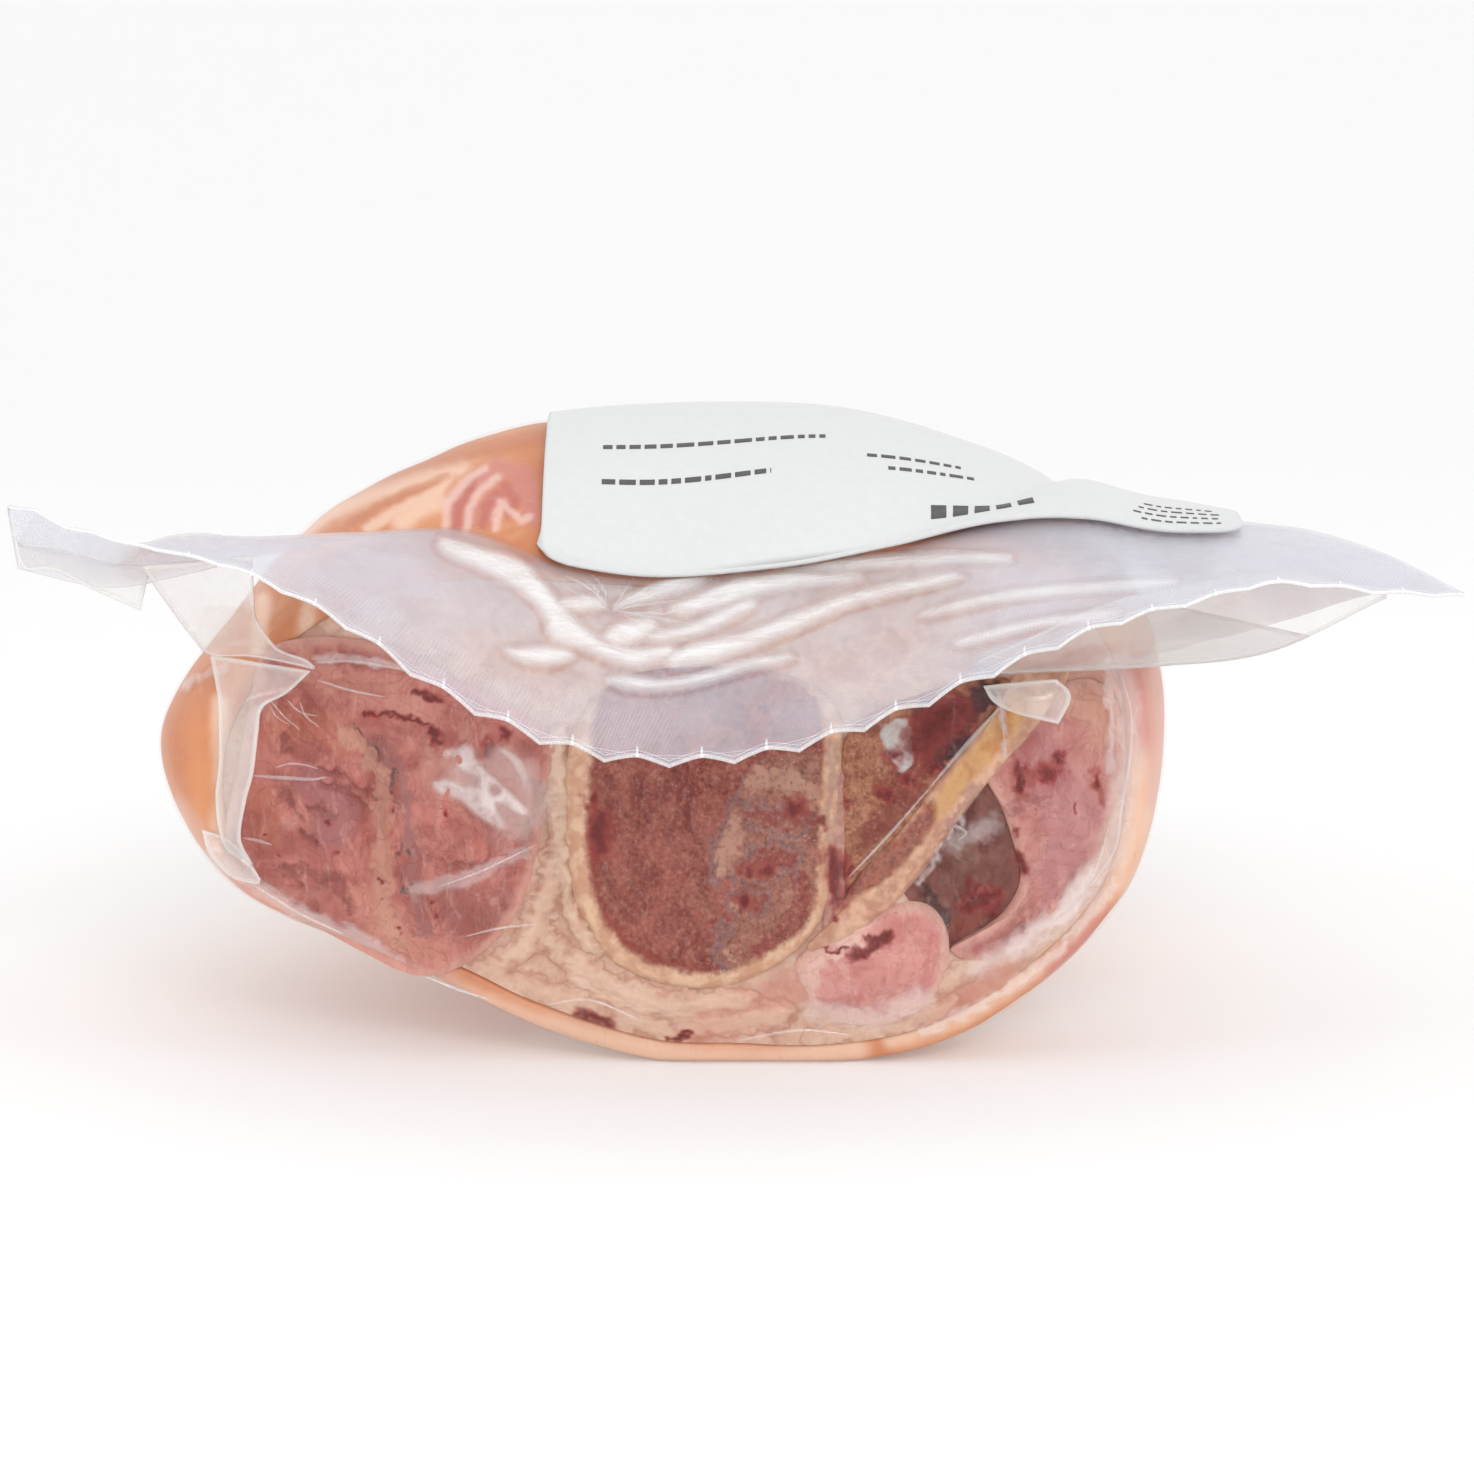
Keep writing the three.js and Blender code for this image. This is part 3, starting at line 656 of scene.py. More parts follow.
RIGHT = [(56.5, 55.6), (51.9, 50.1), (48.7, 46.5), (46.7, 43.6), (47.6, 41.5), (49.4, 38.3), (50.9, 33.8),
    (52.1, 29.4), (51.7, 26.1), (49.8, 22.8), (47.1, 20.4), (44.2, 18.6), (42.2, 17.2), (43.2, 16),
    (46.1, 15.2), (49.3, 16), (52.9, 18.4), (57.2, 22.2), (61.8, 28), (64.8, 34.6), (66.4, 40.9),
    (67, 47.6), (66, 53.6), (62.2, 57)]
SHIN = [(-14, 44.5), (-14.5, 39.8), (-14.2, 33.8), (-13.7, 28.7), (-12.3, 23.5), (-10.2, 19.1),
    (-7.3, 15.6), (-3, 13.1), (1.4, 11.9), (5.6, 11.4), (9.1, 11.8), (13, 13), (17.3, 15.5), (21.7, 19.8),
    (24.2, 24.3), (25.2, 29.8), (25.9, 38), (26.2, 46.4), (25.8, 52.3), (22.1, 56), (15.6, 58.2),
    (5.5, 58.9), (-3.1, 58.2), (-8.9, 55.2), (-12.5, 50.8)]
SECOND_BONE = [(26.1, 46.8), (27.5, 50), (31.6, 52.9), (38.8, 55.4), (46.8, 57.2), (50.5, 56.6),
    (46.9, 50.5), (42.4, 44.5), (38.2, 38.7), (33.6, 33.6), (29.1, 28.9), (26.6, 26.6), (26.1, 32),
    (25.8, 39.4)]
RIDGE = [(59, 58.9), (55.6, 51.8), (50.5, 45.9), (46.5, 41.2), (43.3, 36.5), (39.9, 31.1), (37, 27.6),
    (32.9, 23.4), (27.7, 19.5), (23.3, 17), (21.2, 18), (24, 21.3), (26.6, 25.3), (29.1, 29.7),
    (33.1, 34.3), (37.2, 39.4), (40.9, 44.2), (44.9, 49), (49, 54.2), (51.8, 58.3)]
TISSUES = {
    "left muscle": LEFT,
    "round muscle": ROUND,
    "middle muscle": MIDDLE,
    "right muscle": RIGHT,
    "shin bone": SHIN,
    "second bone": SECOND_BONE,
    "ridge of fat": RIDGE}
for tissue, outline in TISSUES.items():
    wide, high = np.ptp(np.array(outline), axis=0)
    print(tissue, "is", round(wide, 1), "mm wide and", round(high, 1), "mm high")

# %% [markdown]
# ## Fat and connective tissue
#
# Behind the muscles lies a bed of cream fat. It fills the hollow of the rind and shows in every
# gap. Its front follows the film a couple of millimetres further in, with soft wrinkles, and with
# the rolls and sinews that lie beside the large bone. Only the front shows, so a plain lens does.

# %% Fat bed
BLOOD = [([(-35.4, 55.4), (-32.6, 54.3)], 0.85),
    ([(-42.4, 52.2), (-38.7, 52), (-36.5, 51.3), (-33.9, 50.6)], 0.42),
    ([(-33.3, 49.6), (-32.2, 47.9)], 0.9), ([(-24.7, 47)], 1.5), ([(-22.9, 49.3)], 1.3),
    ([(-31.7, 37.7)], 0.4), ([(-27.4, 32.9)], 0.4), ([(-33.9, 24)], 0.55), ([(-33.1, 22.2)], 0.5),
    ([(-38.3, 20.3)], 0.5), ([(-40.9, 27.4)], 0.5), ([(-37.1, 24.9)], 0.4), ([(-50, 33.8)], 0.5),
    ([(-48.6, 35.7)], 0.45), ([(-47.8, 31.6)], 0.65), ([(-56.3, 30.8)], 0.35), ([(-57.4, 34.1)], 0.35),
    ([(-9.1, 36.5), (-8.8, 32)], 1.9), ([(-10.3, 39.3)], 1.3), ([(19.2, 38.1)], 1.9),
    ([(23.1, 36.2)], 1.1), ([(12.6, 29.1)], 1.2), ([(15.1, 29.1)], 1.2), ([(12, 24.6)], 1.2),
    ([(25, 31.1), (25.6, 24.6)], 1.6), ([(24.7, 22.2)], 0.6), ([(27, 39.1)], 1),
    ([(25.6, 27.6), (27.3, 29.4)], 0.7), ([(32.5, 40.2)], 1.3), ([(36, 42.5)], 1.4),
    ([(39.8, 44.2)], 1.3), ([(37.5, 48.6), (41.7, 52.4)], 3.4), ([(33.6, 46)], 1.6),
    ([(28.3, 16.5), (32.6, 19.2)], 1.2), ([(23.9, 17.3), (26.8, 17.3)], 0.5), ([(30, 18.6)], 0.6),
    ([(44.6, 23.8), (48.6, 25.6)], 1.3), ([(52, 44.3), (52, 40.6)], 1.1), ([(55.9, 43.1)], 1.9),
    ([(57.6, 45.5)], 1.4), ([(63, 42)], 1), ([(52, 31.3), (52.4, 29.1)], 1.2), ([(51.6, 34.7)], 0.8),
    ([(60, 38)], 0.4), ([(58.1, 25)], 0.5), ([(54.5, 37.7)], 0.35), ([(68.4, 53.9)], 0.7),
    ([(-11.8, 7.5), (-7.7, 6.2)], 1.3), ([(1.3, 3.5), (4, 4.7)], 0.6)]
BED_BELOW_FILM = 2.2
ROLL_HEIGHT = 1.7
BED_DIP = 2.5            # how much further the bed lies back under muscles and bones
BED_INTO_RIND = 0.1
BED_WRINKLE = 0.5
BLOOD_WANDER, TINT_WANDER, ROLL_WANDER = 0.45, 0.6, 0.5
BED_PINK = [([(5, 5), (14, 9), (20, 12)], 3.5), ([(52, 62), (60, 60), (64, 56)], 5),
    ([(40, 7), (50, 14)], 2.5)]
CLOT, STAIN = tone(100, 8, 12), tone(156, 50, 44)
# rolls of fat and sinews that stand out of the bed: line, half width
SINEWS = [([(-16.3, 47.1), (-15, 40.9), (-15.4, 33.5), (-16.7, 26.1), (-17.9, 20.4)], 1.5),
    ([(-14.9, 49.3), (-14.4, 38), (-14.6, 30.5), (-13.6, 22.8), (-10.1, 16.9)], 1.2),
    ([(-17.6, 24.8), (-18.4, 20.4), (-21, 16.9), (-24.5, 14.4), (-29.2, 11.9)], 1.7),
    ([(-17.9, 18.6), (-12.8, 14.9), (-7.7, 11.9), (-1.9, 9.6), (5.5, 8.9), (12.3, 9.6)], 1.9),
    ([(-23.8, 11.9), (-18, 10.4), (-12.1, 8.9), (-6.8, 6.1)], 2.2),
    ([(-8.8, 6.9), (-2, 5.4), (2.5, 2.9)], 1.6), ([(3.5, 5.4), (9.8, 6.1), (17.1, 7.4)], 2.2),
    ([(21.4, 3.6), (32.8, 4.6), (42.1, 8.4)], 1.5), ([(-29.2, 13.4), (-24.5, 11.1), (-19.6, 7.8)], 1.4),
    ([(41, 12), (46, 15), (50, 19)], 1.7), ([(-13, 12.9), (-8.6, 10.1), (-3.3, 8.2), (4, 7.2)], 1)]


def bled(r, colour):
    """Dark clots with a red stain around them, both with ragged edges."""
    stained = r.marked(colour, STAIN, 0.75, "blood", 1.4, 0.05, 0.7, 0.7)
    return r.marked(stained, CLOT, 0.85, "blood", 0.6, 0.45, 1.05, 0.7)


def fat_material(name, cream, deep, pink):
    """Cream fat: soft clouds of deeper cream, pink where meat shows through, blood where marked,
    and on the rolls a painted highlight along each crest and painted shade along each foot.
    """
    r = Recipe(name, Roughness=0.3, Subsurface_Weight=0.15, Subsurface_Scale=0.004, Specular_IOR_Level=0.3)
    colour = r.blend(r.step(r.noise(4.5, 5.0, 0.6, 0.8), 0.34, 0.6), deep, cream)
    colour = r.blend(r.math("MULTIPLY", r.veins(6, 0.03), 0.3), colour, tone(194, 144, 120))
    colour = r.marked(colour, pink, 0.65, "pink", 4, 0.1, 1.0, 0.4)
    # painted shade along the foot of each roll; two lines down, a painted highlight on its crest
    roll_foot_shade = r.line(r.ragged("roll", 2.0, 0.0, 1.0, 0.2), 0.25, 0.0, 0.22, 0.55)
    colour = r.blend(roll_foot_shade, colour, tone(182, 126, 100))
    colour = r.blend(r.step(r.field("roll"), 0.5, 0.95, 0.0, 0.5), colour, tone(230, 200, 176))
    colour = r.blend(r.step(r.noise(1.2, 3.0), 0.62, 0.72, 0.0, 0.3), colour, pink)
    r.set(Base_Color=bled(r, colour))
    r.set(Normal=r.bump(r.noise(2.0, 6.0, 0.6, 0.6), 0.5, 0.7))
    return r.material


def fat_bed(around=420, rows=150):
    """A lens from the middle of the face out to the rind, then back along its inside."""
    angle = np.arange(around) / around * TURN
    inside = 1 - (RIND_BELOW_FILM + RIND_THICKNESS - BED_INTO_RIND) / ring_radius(FACE_RADII, angle)
    rings = []
    for turn in np.linspace(0.02, 1, rows):
        share = math.sin(turn * math.pi / 2)
        ring = body_point(angle, BED_BELOW_FILM * share ** 3, inside * share)
        wrinkle = ripples(ring * [1, 1, 0.8], 7.0, 11) + 0.35 * ripples(ring, 2.4, 12)
        covered = np.max([depth_inside(ring[:, 0], ring[:, 2], line) for line in TISSUES.values()], axis=0)
        film_at = face_film(ring[:, 0], ring[:, 2])
        ring[:, 1] = film_at + BED_BELOW_FILM + BED_DIP * smooth((covered - 0.5) / 2)
        ring[:, 1] += BED_WRINKLE * wrinkle * (1 - share ** 6)
        ring[:, 1] -= ROLL_HEIGHT * strokes(ring[:, 0], ring[:, 2], SINEWS, ROLL_WANDER) * (1 - share ** 6)
        rings.append(ring)
    for depth in (3.0, 4.5, 6.5, 9.0, RIND_POCKET - 0.8):
        rings.append(body_point(angle, depth, inside))
    for share in (0.9, 0.3):
        rings.append(body_point(angle, RIND_POCKET - 0.8, inside * share))
    return np.stack(rings)


bed = fat_bed()
fat = fat_material("fat", tone(222, 186, 164), tone(202, 154, 132), tone(206, 138, 124))
seen_x, seen_z = seen_on_face(bed)
bed_fields = {
    "blood": strokes(seen_x, seen_z, BLOOD, BLOOD_WANDER),
    "pink": strokes(seen_x, seen_z, BED_PINK, TINT_WANDER),
    "roll": strokes(bed[..., 0], bed[..., 2], SINEWS, ROLL_WANDER)}
ringed("fat_bed", bed, fat, bed_fields)

# %% [markdown]
# Creases of the film are strands: tapering threads with an oval section that follow a curve along
# the face. They are all joined into one mesh.

# %% Strands on the face
def on_film(x, z, below=0.0):
    """Points on the film of the face, seen at (x, z), some way behind it: three rounds of
    moving along the line of sight to the film's depth."""
    point = on_depth(x, z, 0.0)
    for _ in range(3):
        point = on_depth(x, z, face_film(point[..., 0], point[..., 2]) + below)
    return point


def strand_rings(centre, half, height, around=10):
    """Rings of an oval section along a curve, as wide as half to each side and as high as height,
    tapering with the root of a sine to a point at both ends."""
    ahead = np.gradient(centre, axis=0)
    side = np.cross(ahead, [0, 1, 0])
    side /= np.linalg.norm(side, axis=1, keepdims=True)
    taper = np.sqrt(np.sin(np.linspace(0.04, math.pi - 0.04, len(centre))))
    turn = np.arange(around) / around * TURN
    across = side[:, None] * (np.cos(turn) * half)[None, :, None]
    out = np.array([0, -1, 0]) * (np.sin(turn) * height)[None, :, None]
    return centre[:, None] + (across + out) * taper[:, None, None]


def many_strands(name, strands, material, height_share, onto):
    """All strands of one kind, joined into one mesh; onto(x, z) gives the points they follow."""
    points, quads, fans, first = [], [], [], 0
    for line, half in strands:
        flat = spline(line, 40)
        rings = strand_rings(onto(flat[:, 0], flat[:, 1]), half, half * height_share)
        rows, around, _ = rings.shape
        points += [rings[:1].mean(1), rings.reshape(-1, 3), rings[-1:].mean(1)]
        quads.append(grid_faces(rows, around, True) + 1 + first)
        j = np.arange(around)
        k = (j + 1) % around
        last = rows * around + 1
        fans.append(np.stack([0 * j, 1 + k, 1 + j], -1) + first)
        fans.append(np.stack([0 * j + last, last - around + j, last - around + k], -1) + first)
        first += last + 1
    return make_piece(name, np.concatenate(points), np.concatenate(quads), np.concatenate(fans),
                      material, "bag")


# %% [markdown]
# ## Muscles
#
# A sawn muscle is a cushion of fibres with rounded shoulders where it meets the fat. Each one is an
# outline on the face and a polar grid inside it. The front follows the film, drops at the edge, and
# turns back into the bed.

# %% Cushion function
def cushion(name, outline, material, below=0.5, edge=2.2, roundness=9, relief=None, marks=None,
            around=200, rows=72, extra=None, middle=None):
    """A cushion behind the film: a polar grid about the outline's middle or, where the outline is
    bent like a bean, about a point that sees the whole rim. The front lies `below` the film and
    falls by `edge` towards the outline, as a high power of the share of the way there. Marks is
    a dictionary of further fields, each a list of strokes; extra(rings) gives more of them."""
    rim = spline(outline, around, True)
    middle = rim.mean(0) if middle is None else np.array(middle)
    rings = []
    for turn in np.linspace(0.02, 1, rows):
        share = math.sin(turn * math.pi / 2)
        flat = middle + (rim - middle) * share
        ring = np.stack([flat[:, 0], np.zeros(around), flat[:, 1]], -1)
        ring[:, 1] = face_film(flat[:, 0], flat[:, 1]) + below + edge * share ** roundness
        if relief is not None:
            ring[:, 1] += relief(flat[:, 0], flat[:, 1]) * (1 - share ** 8)
        rings.append(ring)
    for depth, share in ((1.5, 0.995), (4.0, 0.97), (4.3, 0.5)):
        ring = rings[rows - 1].copy()
        ring[:, [0, 2]] = middle + (rim - middle) * share
        ring[:, 1] += depth
        rings.append(ring)
    rings = np.stack(rings)
    x, z = seen_on_face(rings)
    fields = {"blood": strokes(x, z, BLOOD, BLOOD_WANDER),
              "rim": depth_inside(rings[..., 0], rings[..., 2], outline)}
    for key, lines in (marks or {}).items():
        fields[key] = strokes(x, z, lines, TINT_WANDER)
    if extra is not None:
        fields.update(extra(rings))
    return ringed(name, rings, material, fields)


FIBRE_SIZE = 2.2


def muscle_material(name, tones, lean, tints_and_painted_light):
    """Cooked muscle: cloudy flesh, fibres stretched along one direction and turned by lean
    degrees, fine veins, tints where marked, pale at the rim, and blood. Some marked tints are
    painted light: painted highlights and painted shade. The tones are those of the flesh, of its
    deeper and of its paler parts."""
    flesh, deep, pale = tones
    r = Recipe(name, Roughness=0.3, Subsurface_Weight=0.1, Subsurface_Scale=0.003, Specular_IOR_Level=0.3)
    colour = r.blend(r.step(r.noise(7, 5.0, 0.65, 0.8), 0.36, 0.62), deep, flesh)
    for key, colour_there, share in tints_and_painted_light:
        colour = r.marked(colour, colour_there, share, key, 4, 0.1, 0.85, 0.45)
    fibres = r.noise(FIBRE_SIZE, 7.0, 0.72, 0.6, r.place((1, 1, 0.35), (0, math.radians(lean), 0)))
    colour = r.blend(r.step(fibres, 0.5, 0.7, 0.0, 0.5), colour, pale)
    colour = r.blend(r.step(fibres, 0.3, 0.45, 0.45, 0.0), colour, deep)
    veins = r.veins(5, 0.018, 1.5)
    colour = r.blend(r.math("MULTIPLY", veins, 0.25), colour, deep)
    rim = r.math("ADD", r.field("rim"), r.math("MULTIPLY", r.noise(2.5, 4.0), -2.4))
    colour = r.blend(r.step(rim, -0.9, 0.9, 0.7, 0.0), colour, pale)
    colour = r.blend(r.step(r.noise(0.9, 3.0, 0.6), 0.66, 0.74, 0.0, 0.5), colour, STAIN)
    r.set(Base_Color=bled(r, colour))
    height = r.scaled(fibres, 0.8, r.math("MULTIPLY", veins, -0.15))
    r.set(Normal=r.bump(height, 0.6, 0.8))
    return r.material


def folds(size, seed, height, stretch=(1, 1, 1), grooves=(), depth=0.0):
    """A relief of soft folds for a cushion, with grooves pressed in along lines."""
    scale = np.array(stretch)

    def relief(x, z):
        flat = np.stack([x, np.zeros_like(x), z], -1) * scale
        fine = 0.35 * ripples(flat, size / 3, seed + 50)
        return height * (ripples(flat, size, seed) + fine) + depth * strokes(x, z, grooves, 0.3)
    return relief


# %% [markdown]
# Each muscle has its own colours. What makes it a piece of meat and not a patch of colour are its
# marks: grooves, bruises, paler margins and tints, each a list of strokes with a half width. A few
# marks are painted light: painted highlights and painted shade.

# %% The large muscle on the left
GROOVE = [([(-45.1, 50.5), (-42.3, 47.6), (-40.4, 45.1), (-39.3, 41.7), (-38.8, 38), (-38.4, 35),
    (-38.1, 31.3), (-37.9, 27.6), (-37.3, 23.8), (-36.4, 19.4)], 0.6)]
BRUISES = [([(-48.5, 42), (-45.3, 40.9), (-42.8, 38.3)], 0.5),
    ([(-50.9, 39), (-49.2, 38.1), (-47.6, 37.1)], 0.5),
    ([(-54.6, 40.9), (-53.8, 38.8), (-52.4, 37.1)], 0.6),
    ([(-49.4, 44.2), (-46, 42.8), (-41.6, 40)], 0.4), ([(-55.1, 49), (-54.3, 46.8)], 0.8),
    ([(-52.7, 35.3), (-49.8, 33.2)], 0.4), ([(-52.8, 29.4), (-47, 26.8), (-45.3, 23.4)], 1),
    ([(-55.4, 29.7), (-52.8, 27.9)], 0.8)]
LEFT_MARKS = {
    "groove": [([(-39.8, 44.8), (-39.4, 43), (-39.1, 40.9)], 0.34),
        ([(-38.7, 39.1), (-38.4, 37.7)], 0.3), ([(-38, 32.6), (-37.9, 31.1)], 0.26),
        ([(-37.4, 27.3), (-37, 24.6)], 0.26), ([(-44.9, 50.2), (-43.5, 49.3)], 0.26),
        ([(-41.6, 47.1), (-40.5, 45.8)], 0.34)],
    # shade: painted shade beside the groove
    "shade": [([(-42.1, 48.6), (-39, 45.3), (-37.6, 41.7), (-36.9, 37.7), (-36.7, 33.8), (-36.4, 29.8),
        (-35.9, 25.3), (-34.8, 20.1)], 1.15)],
    "margin": [([(-45.5, 49), (-42.9, 46.8), (-41.2, 43.9), (-40.6, 39.4), (-40.6, 33.5), (-40.6, 27.6),
        (-40.4, 22.4), (-38.9, 17.9)], 1.5)],
    "bruise": BRUISES,
    "orange": [([(-56.8, 49), (-53.9, 51.2), (-48.1, 49.8), (-45.3, 47.6)], 2.4),
        ([(-58, 40), (-57, 34)], 2)],
    "mauve": [([(-51.1, 41.7), (-46.1, 38), (-48.3, 35)], 3.2)],
    "salmon": [([(-52.3, 59.3), (-46.6, 57.1), (-39.4, 54.9), (-33.6, 52.4)], 2.6),
        ([(-43.8, 24.6), (-40.5, 20.1), (-36.9, 17.1), (-32.6, 14.9)], 3.2)],
    # light: a painted soft highlight under the glare of the film
    "light": [([(-29, 42), (-24, 41), (-19, 39)], 4), ([(-33, 47), (-33.5, 41)], 1.6)],
    "dusk": [([(-17.6, 42), (-18.4, 36), (-19.4, 31)], 1.2), ([(-31, 25), (-27, 21), (-24, 24)], 3)]}
LEFT_TINTS_AND_PAINTED_LIGHT = (("salmon", tone(208, 140, 124), 0.8), ("orange", tone(190, 112, 90), 0.7),
              ("mauve", tone(160, 96, 96), 0.8), ("margin", tone(206, 150, 130), 0.85),
              ("shade", tone(156, 100, 96), 0.8), ("light", tone(200, 138, 124), 0.7),
              ("dusk", tone(150, 84, 78), 0.7), ("bruise", tone(148, 74, 68), 0.75),
              ("groove", tone(92, 74, 74), 0.8))
TOP_FOLD = [(-50.3, 60.2), (-45.8, 60.6), (-41.5, 59.9), (-36.7, 59.0)]
FOLD_LINES = [(TOP_FOLD, 0.8), ([(-49.8, 57.1), (-45.1, 56.2), (-40.1, 55.6)], 0.7),
    ([(-53.4, 57.2), (-50.5, 52.8), (-47.4, 50)], 0.6),
    ([(-55.6, 55.2), (-52.9, 50.6), (-49.4, 47.6)], 0.6), ([(-36, 33), (-31, 30), (-26, 30.5)], 0.6)]
LEFT_TONES = (tone(198, 124, 112), tone(166, 88, 80), tone(222, 168, 152))
left_meat = muscle_material("left_meat", LEFT_TONES, 35, LEFT_TINTS_AND_PAINTED_LIGHT)
left_relief = folds(8, 21, 0.45, (1, 1, 0.7), GROOVE + BRUISES + FOLD_LINES, 0.6)
cushion("muscle_left", LEFT, left_meat, edge=0.9, roundness=14, relief=left_relief,
        marks=LEFT_MARKS, around=340, rows=120)

# %% The three muscles on the right
ROUND_TONES = (tone(220, 156, 148), tone(204, 130, 124), tone(234, 192, 178))
# the round muscle's white marks are painted highlights at its left and lower edge
ROUND_HIGHLIGHTS = (("white", tone(236, 202, 190), 0.7),)
ROUND_MARKS = {"white": [([(21, 10), (22, 15), (28, 19)], 1.6), ([(24, 7.4), (32, 6.8), (38, 9)], 1.4)]}
MIDDLE_TONES = (tone(138, 84, 75), tone(108, 54, 49), tone(160, 108, 96))
# in the middle muscle the grey-pink veil is a painted highlight, and the dark gap painted shade
MIDDLE_TINTS_AND_PAINTED_LIGHT = (("tan", tone(146, 104, 88), 0.7), ("red", tone(122, 34, 30), 0.9),
                ("rust", tone(148, 74, 58), 0.8), ("gap", tone(74, 46, 42), 0.9),
                ("veil_and_gleam", tone(170, 138, 134), 0.45))
MIDDLE_MARKS = {
    "red": [([(45.1, 26.4), (46.9, 24.6), (48.1, 23.1)], 1.7)],
    "rust": [([(43.1, 20.4), (45.8, 21.5)], 1.4)],
    "gap": [([(37.8, 27), (39.9, 24.3), (41.7, 20.7)], 0.9)],
    "veil_and_gleam": [([(44.5, 35.3), (46.2, 34.7), (48, 33.2)], 0.6), ([(42.2, 31.7), (44.2, 30.2)], 0.5)],
    "tan": [([(43.6, 32), (44.5, 27.6), (45.1, 30.5)], 1.4)]}
RIGHT_TONES = (tone(200, 136, 128), tone(176, 102, 98), tone(226, 176, 162))
RIGHT_TINTS = (("tan", tone(208, 156, 132), 0.8), ("mauve", tone(190, 132, 134), 0.6),
               ("red", tone(162, 70, 64), 0.7), ("seam", tone(160, 96, 92), 0.7))
RIGHT_MARKS = {
    "tan": [([(58, 55), (62, 54), (65, 50)], 3)],
    "mauve": [([(56, 44), (60, 36), (58, 28)], 4)],
    "red": [([(52, 42.5), (58, 43.5)], 1.6), ([(62.5, 43.5), (64, 39)], 1)],
    "seam": [([(53.5, 27), (52.6, 22), (50, 18)], 0.5), ([(48, 36.5), (52, 39), (56, 39.5)], 0.7)]}
RIGHT_CENTRE = (58.5, 27.5)    # a point of the bent outline that sees its whole rim
round_meat = muscle_material("round_meat", ROUND_TONES, 60, ROUND_HIGHLIGHTS)
middle_meat = muscle_material("middle_meat", MIDDLE_TONES, 80, MIDDLE_TINTS_AND_PAINTED_LIGHT)
right_meat = muscle_material("right_meat", RIGHT_TONES, 75, RIGHT_TINTS)
cushion("muscle_round", ROUND, round_meat, edge=1.6, relief=folds(7, 24, 0.35), rows=56,
        marks=ROUND_MARKS)
cushion("muscle_middle", MIDDLE, middle_meat, below=2.5, edge=0.8, relief=folds(5, 25, 0.3),
        rows=56, marks=MIDDLE_MARKS)
cushion("muscle_right", RIGHT, right_meat, edge=1.4, relief=folds(8, 26, 0.5),
        marks=RIGHT_MARKS, around=300, rows=96, middle=RIGHT_CENTRE)

# %% [markdown]
# ## Bones
#
# The saw cut the head of the shin bone: a ring of hard cream bone round a red spongy core, with the
# pale plate where the bone once grew. Beside it lies a second, smaller bone. A slab of the same
# cushion kind, nearly flat, carries both, and outlines say where each tissue begins.

# %% Sawn bones
CORE = [(-10.5, 44.2), (-10.8, 38), (-11, 31.4), (-10, 25.5), (-7.7, 20.3), (-3.3, 16.1), (4, 13.9),
    (9, 13.8), (14.2, 16.1), (18.9, 19.1), (21.7, 22.2), (22.8, 29.4), (23, 38.1), (23.6, 45.3),
    (23.4, 51.4), (21.4, 55.8), (12, 59.4), (2.6, 60), (-5.6, 58.4), (-9.8, 52.6)]
GROWTH = [(11.9, 43), (11, 40.9), (9.4, 36.8), (8.1, 33.5), (7.2, 30.5), (7.1, 27.6), (8.1, 26.7),
    (8.7, 27.9), (10.6, 28.2), (11.7, 26.7), (11.3, 25.2), (9.6, 25), (9.1, 23.8), (10.6, 22.5),
    (10.9, 20.4), (9.7, 19.5), (8.7, 21.6), (8.4, 18.6), (7.5, 15.9), (8.7, 15), (9.6, 13.2),
    (14.2, 15.6), (18.9, 18.6), (22.2, 22.2), (23.4, 29.4), (23.8, 38.1), (24.4, 45.3), (20, 46.8),
    (14, 45.5)]
SEAMS = [(GROWTH[:21], 0.42), ([(11, 39.4), (14.2, 39), (18.6, 37.8), (20, 36.8), (20.8, 34.7),
    (19.3, 33.8), (15.7, 34.7), (12.8, 35), (11.9, 36.8)], 0.36), ([(12, 30.8), (13.1, 32.3),
    (15.7, 33.2), (18.6, 32.8), (19.3, 31.3), (20.5, 30.2), (20.1, 29.1), (17.9, 29.4), (17.4, 27.9),
    (15, 27.6), (12.8, 28.8), (12, 30.8)], 0.32),
    ([(11.6, 23.8), (13.1, 25.6), (15.4, 25.8), (15.7, 24), (14.2, 22.2), (12.5, 21.9)], 0.32)]
SHIN_MARKS = {
    "seam": SEAMS,
    "island": [([(12.8, 37.7), (18.6, 36.2)], 1.5), ([(13.5, 31.1), (17.9, 30.8)], 1.7),
        ([(14.2, 24.6), (13.8, 23.1)], 1.3),
        ([(19.6, 27.8), (21.2, 24.6), (18.6, 20.1), (14.2, 17.1)], 1.8)],
    "light": [([(10.3, 36.2), (9, 32.8), (8.4, 28.3)], 1.3),
        ([(12.8, 42.4), (17.1, 42.7), (21.5, 40.9)], 1.9), ([(10.6, 32.8), (11.6, 33.8)], 0.9),
        ([(10.3, 23.8), (9.9, 25.8)], 0.6), ([(9.1, 17.1), (10.6, 15.6)], 0.8)],
    "rim_red": [([(-10.7, 32), (-10, 26.1), (-8.2, 21.3), (-4.5, 17.4), (0.3, 14.9), (5.5, 12.9)], 1),
        ([(-9.8, 41), (-10.2, 37)], 0.9)],
    "grey": [([(24.7, 48.1), (24.7, 40.9), (24.6, 35.7), (24.5, 29)], 0.9)]}
CAP = [(32.2, 49.0), (33.3, 50.9), (35.2, 51.2), (36.1, 48.6), (35.8, 45.9), (35.0, 44.5), (33.4, 46.1)]
